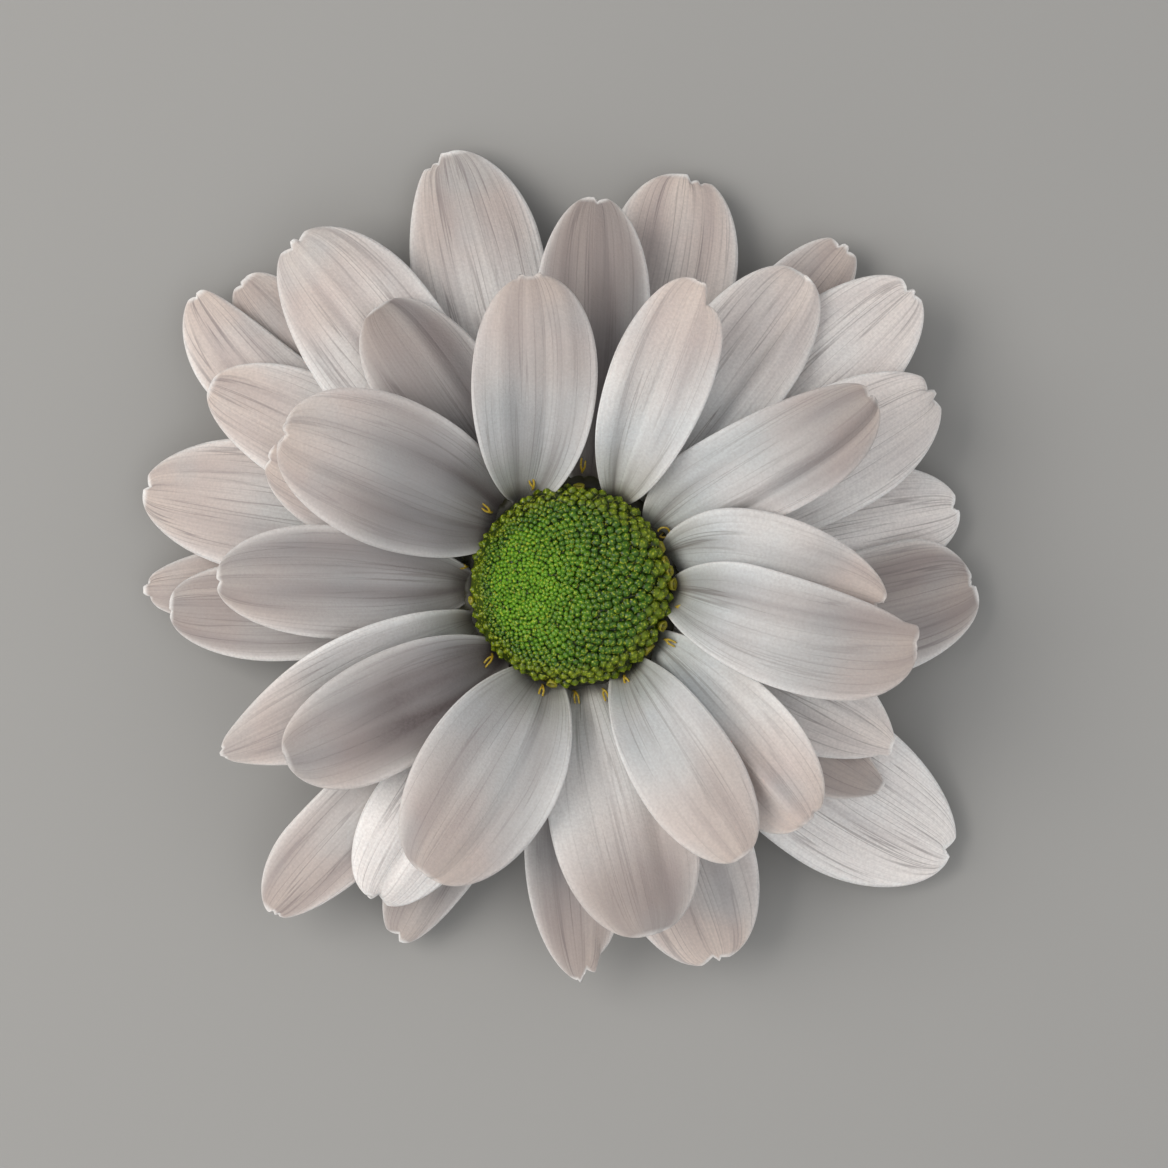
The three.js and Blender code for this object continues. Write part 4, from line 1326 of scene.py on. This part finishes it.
def calyx_finish():
    """Green sepal tissue: slightly leathery, with fine lengthwise nerves and a soft bloom of down.
    The margins dry out to a papery brown."""
    material, tree, shader = new_material("green_bract_leaf", {
        "Roughness": 0.6, "Sheen Weight": 0.25, "Subsurface Weight": 0.1,
        "Subsurface Radius": (0.5, 1.0, 0.3), "Subsurface Scale": 0.4 * MM})
    places = add_node(tree, "TexCoord").outputs
    margin, cut = (
        add_node(tree, "Attribute", attribute_name=key).outputs["Fac"] for key in ("margin", "cut"))
    drawn = add_node(tree, "Mapping", {"Vector": places["UV"], "Scale": (1 / 0.35, 0.12, 1)}).outputs[0]
    nerves = add_node(tree, "TexNoise", {"Vector": drawn, "Scale": 1, "Detail": 2}).outputs[0]
    pale = add_node(tree, "MapRange", {"Value": nerves, 1: 0.45, 2: 0.7, 4: 0.35}).outputs[0]
    even = {"Vector": places["Object"], "Scale": 1000 / 2.5, "Detail": 3}
    mottle = add_node(tree, "TexNoise", even).outputs[0]
    mixed = add_node(tree, "ValToRGB", {"Fac": mottle}, stops=[
        (0.3, "#4c6a2e"), (0.55, "#617f3b"), (0.75, "#7b9550")]).outputs[0]
    pith = cut_colour(tree, places["Object"])
    for share, colour in ((pale, linear("#9aae6c")), (margin, linear("#a58f66")), (cut, pith)):
        mixed = add_node(tree, "Mix", {0: share, 6: mixed, 7: colour}, data_type="RGBA").outputs[2]
    tree.links.new(mixed, shader.inputs["Base Color"])
    bump = add_node(tree, "Bump", {"Height": nerves, "Strength": 0.5, "Distance": 0.06 * MM})
    tree.links.new(bump.outputs[0], shader.inputs["Normal"])
    return material


bract_leaf = calyx_finish()
print("calyx finish has", len(bract_leaf.node_tree.nodes), "nodes")

# %% Bracts
BRACTS_IN_ROW = 12
# Radius and height of the root, then of the tip, and the width, all in mm.
BRACT_ROWS = [(4.4, 2.1, 7.8, 3.2, 3.2), (6.0, 3.2, 9.5, 4.4, 3.8), (7.4, 4.3, 11.2, 5.4, 4.6)]
BRACT_ALONG, BRACT_ACROSS = 14, 10
BRACT_THICK = 0.45
MIDRIB = 0.16
ROOT_BACK, ROOT_DOWN = 0.6, 0.1
DRYNESS = 0.85


def bract(row, number, draw):
    """One bract as a blade: its height rises with the share of its length to the power 1.25, its
    sides stand up by a quarter of the square across, and its midrib is a bell curve on the side
    below. The width swells to the middle and closes to a blunt tip."""
    root_radius, root_height, tip_radius, tip_height, width = BRACT_ROWS[row]
    s = np.linspace(0, 1, BRACT_ALONG + 1)[:, None]
    v = np.linspace(-1, 1, BRACT_ACROSS + 1)[None]
    half = width / 2 * (0.85 + 0.15 * np.sin(np.pi * s)) * (1 - 0.78 * smooth((s - 0.45) / 0.55) ** 1.6)
    radius = root_radius + (tip_radius - root_radius) * s + 0 * v
    height = root_height + (tip_height - root_height) * s ** 1.25 + 0.25 * v * v
    height = height - 0.1 * bell(v, MIDRIB) * (1 - s) ** 0.5
    height = height + 0.06 * np.sin(7 * s + draw.uniform(0, 6)) * v * v
    azimuth = (number + row / 2) * 360 / BRACTS_IN_ROW
    middle = place(radius, azimuth, height) + place(half * v, azimuth + 90, 0)
    middle = np.concatenate([middle[:1] - place(ROOT_BACK, azimuth, ROOT_DOWN), middle])
    s = np.concatenate([s[:1], s])
    half = np.concatenate([half[:1], half])
    margin = np.clip(np.maximum(np.abs(v) ** 5, smooth((s - 0.86) / 0.14)), 0, 1)
    thickness = BRACT_THICK * (1 - 0.6 * margin)
    return blade(middle, thickness, v * half, s * 4, {"margin": margin * DRYNESS, "cut": 0.0})


bract_draw = np.random.default_rng(SEED + 2)
made = [bract(row, number, bract_draw) for row in range(len(BRACT_ROWS)) for number in range(BRACTS_IN_ROW)]
hand_over(build_blades("calyx_bracts", made, bract_leaf), "calyx")

# %% Cup and cut end
CUP_PROFILE = [
    (0, 5.4), (8.7, 5.4), (8.85, 5.1), (8.6, 4.65), (7.9, 4.05), (6.9, 3.3), (5.7, 2.45), (4.4, 1.7),
    (3.5, 1.35), (3.05, 1.1), (STEM_RADIUS, 0.6), (STEM_RADIUS, 0.06), (2.94, 0.0), (1.5, 0.0), (0, 0.0),
]
CUP_SIDES = 96
CUT_HEIGHT = 0.03


def stem_ridges(radius, angle):
    """Shallow ridges down the cup and the stem."""
    return 1 + 0.012 * np.cos(12 * angle) * np.ones_like(radius)


points, faces = turned(CUP_PROFILE, CUP_SIDES, stem_ridges)
cup_uv = np.stack([np.arctan2(points[:, 1], points[:, 0]) * 4, points[:, 2]], -1)
cup_values = {"margin": np.zeros(len(points)), "cut": points[:, 2] < CUT_HEIGHT}
cup = build_mesh("calyx_cup", points, faces, bract_leaf, cup_uv, cup_values)
hand_over(cup, "calyx")

# %% [markdown]
# ## Sizes
# The box of the dressed bloom is kept beside the box of the plain solids, so that the two can be
# compared.

# %% Keep the sizes and finish
visual_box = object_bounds()
boxes = {"cad": [list(corner) for corner in cad_box], "visual": [list(corner) for corner in visual_box]}
for name, (low, high) in boxes.items():
    print(name, "box in mm:", [round(v / MM, 2) for v in low], [round(v / MM, 2) for v in high])
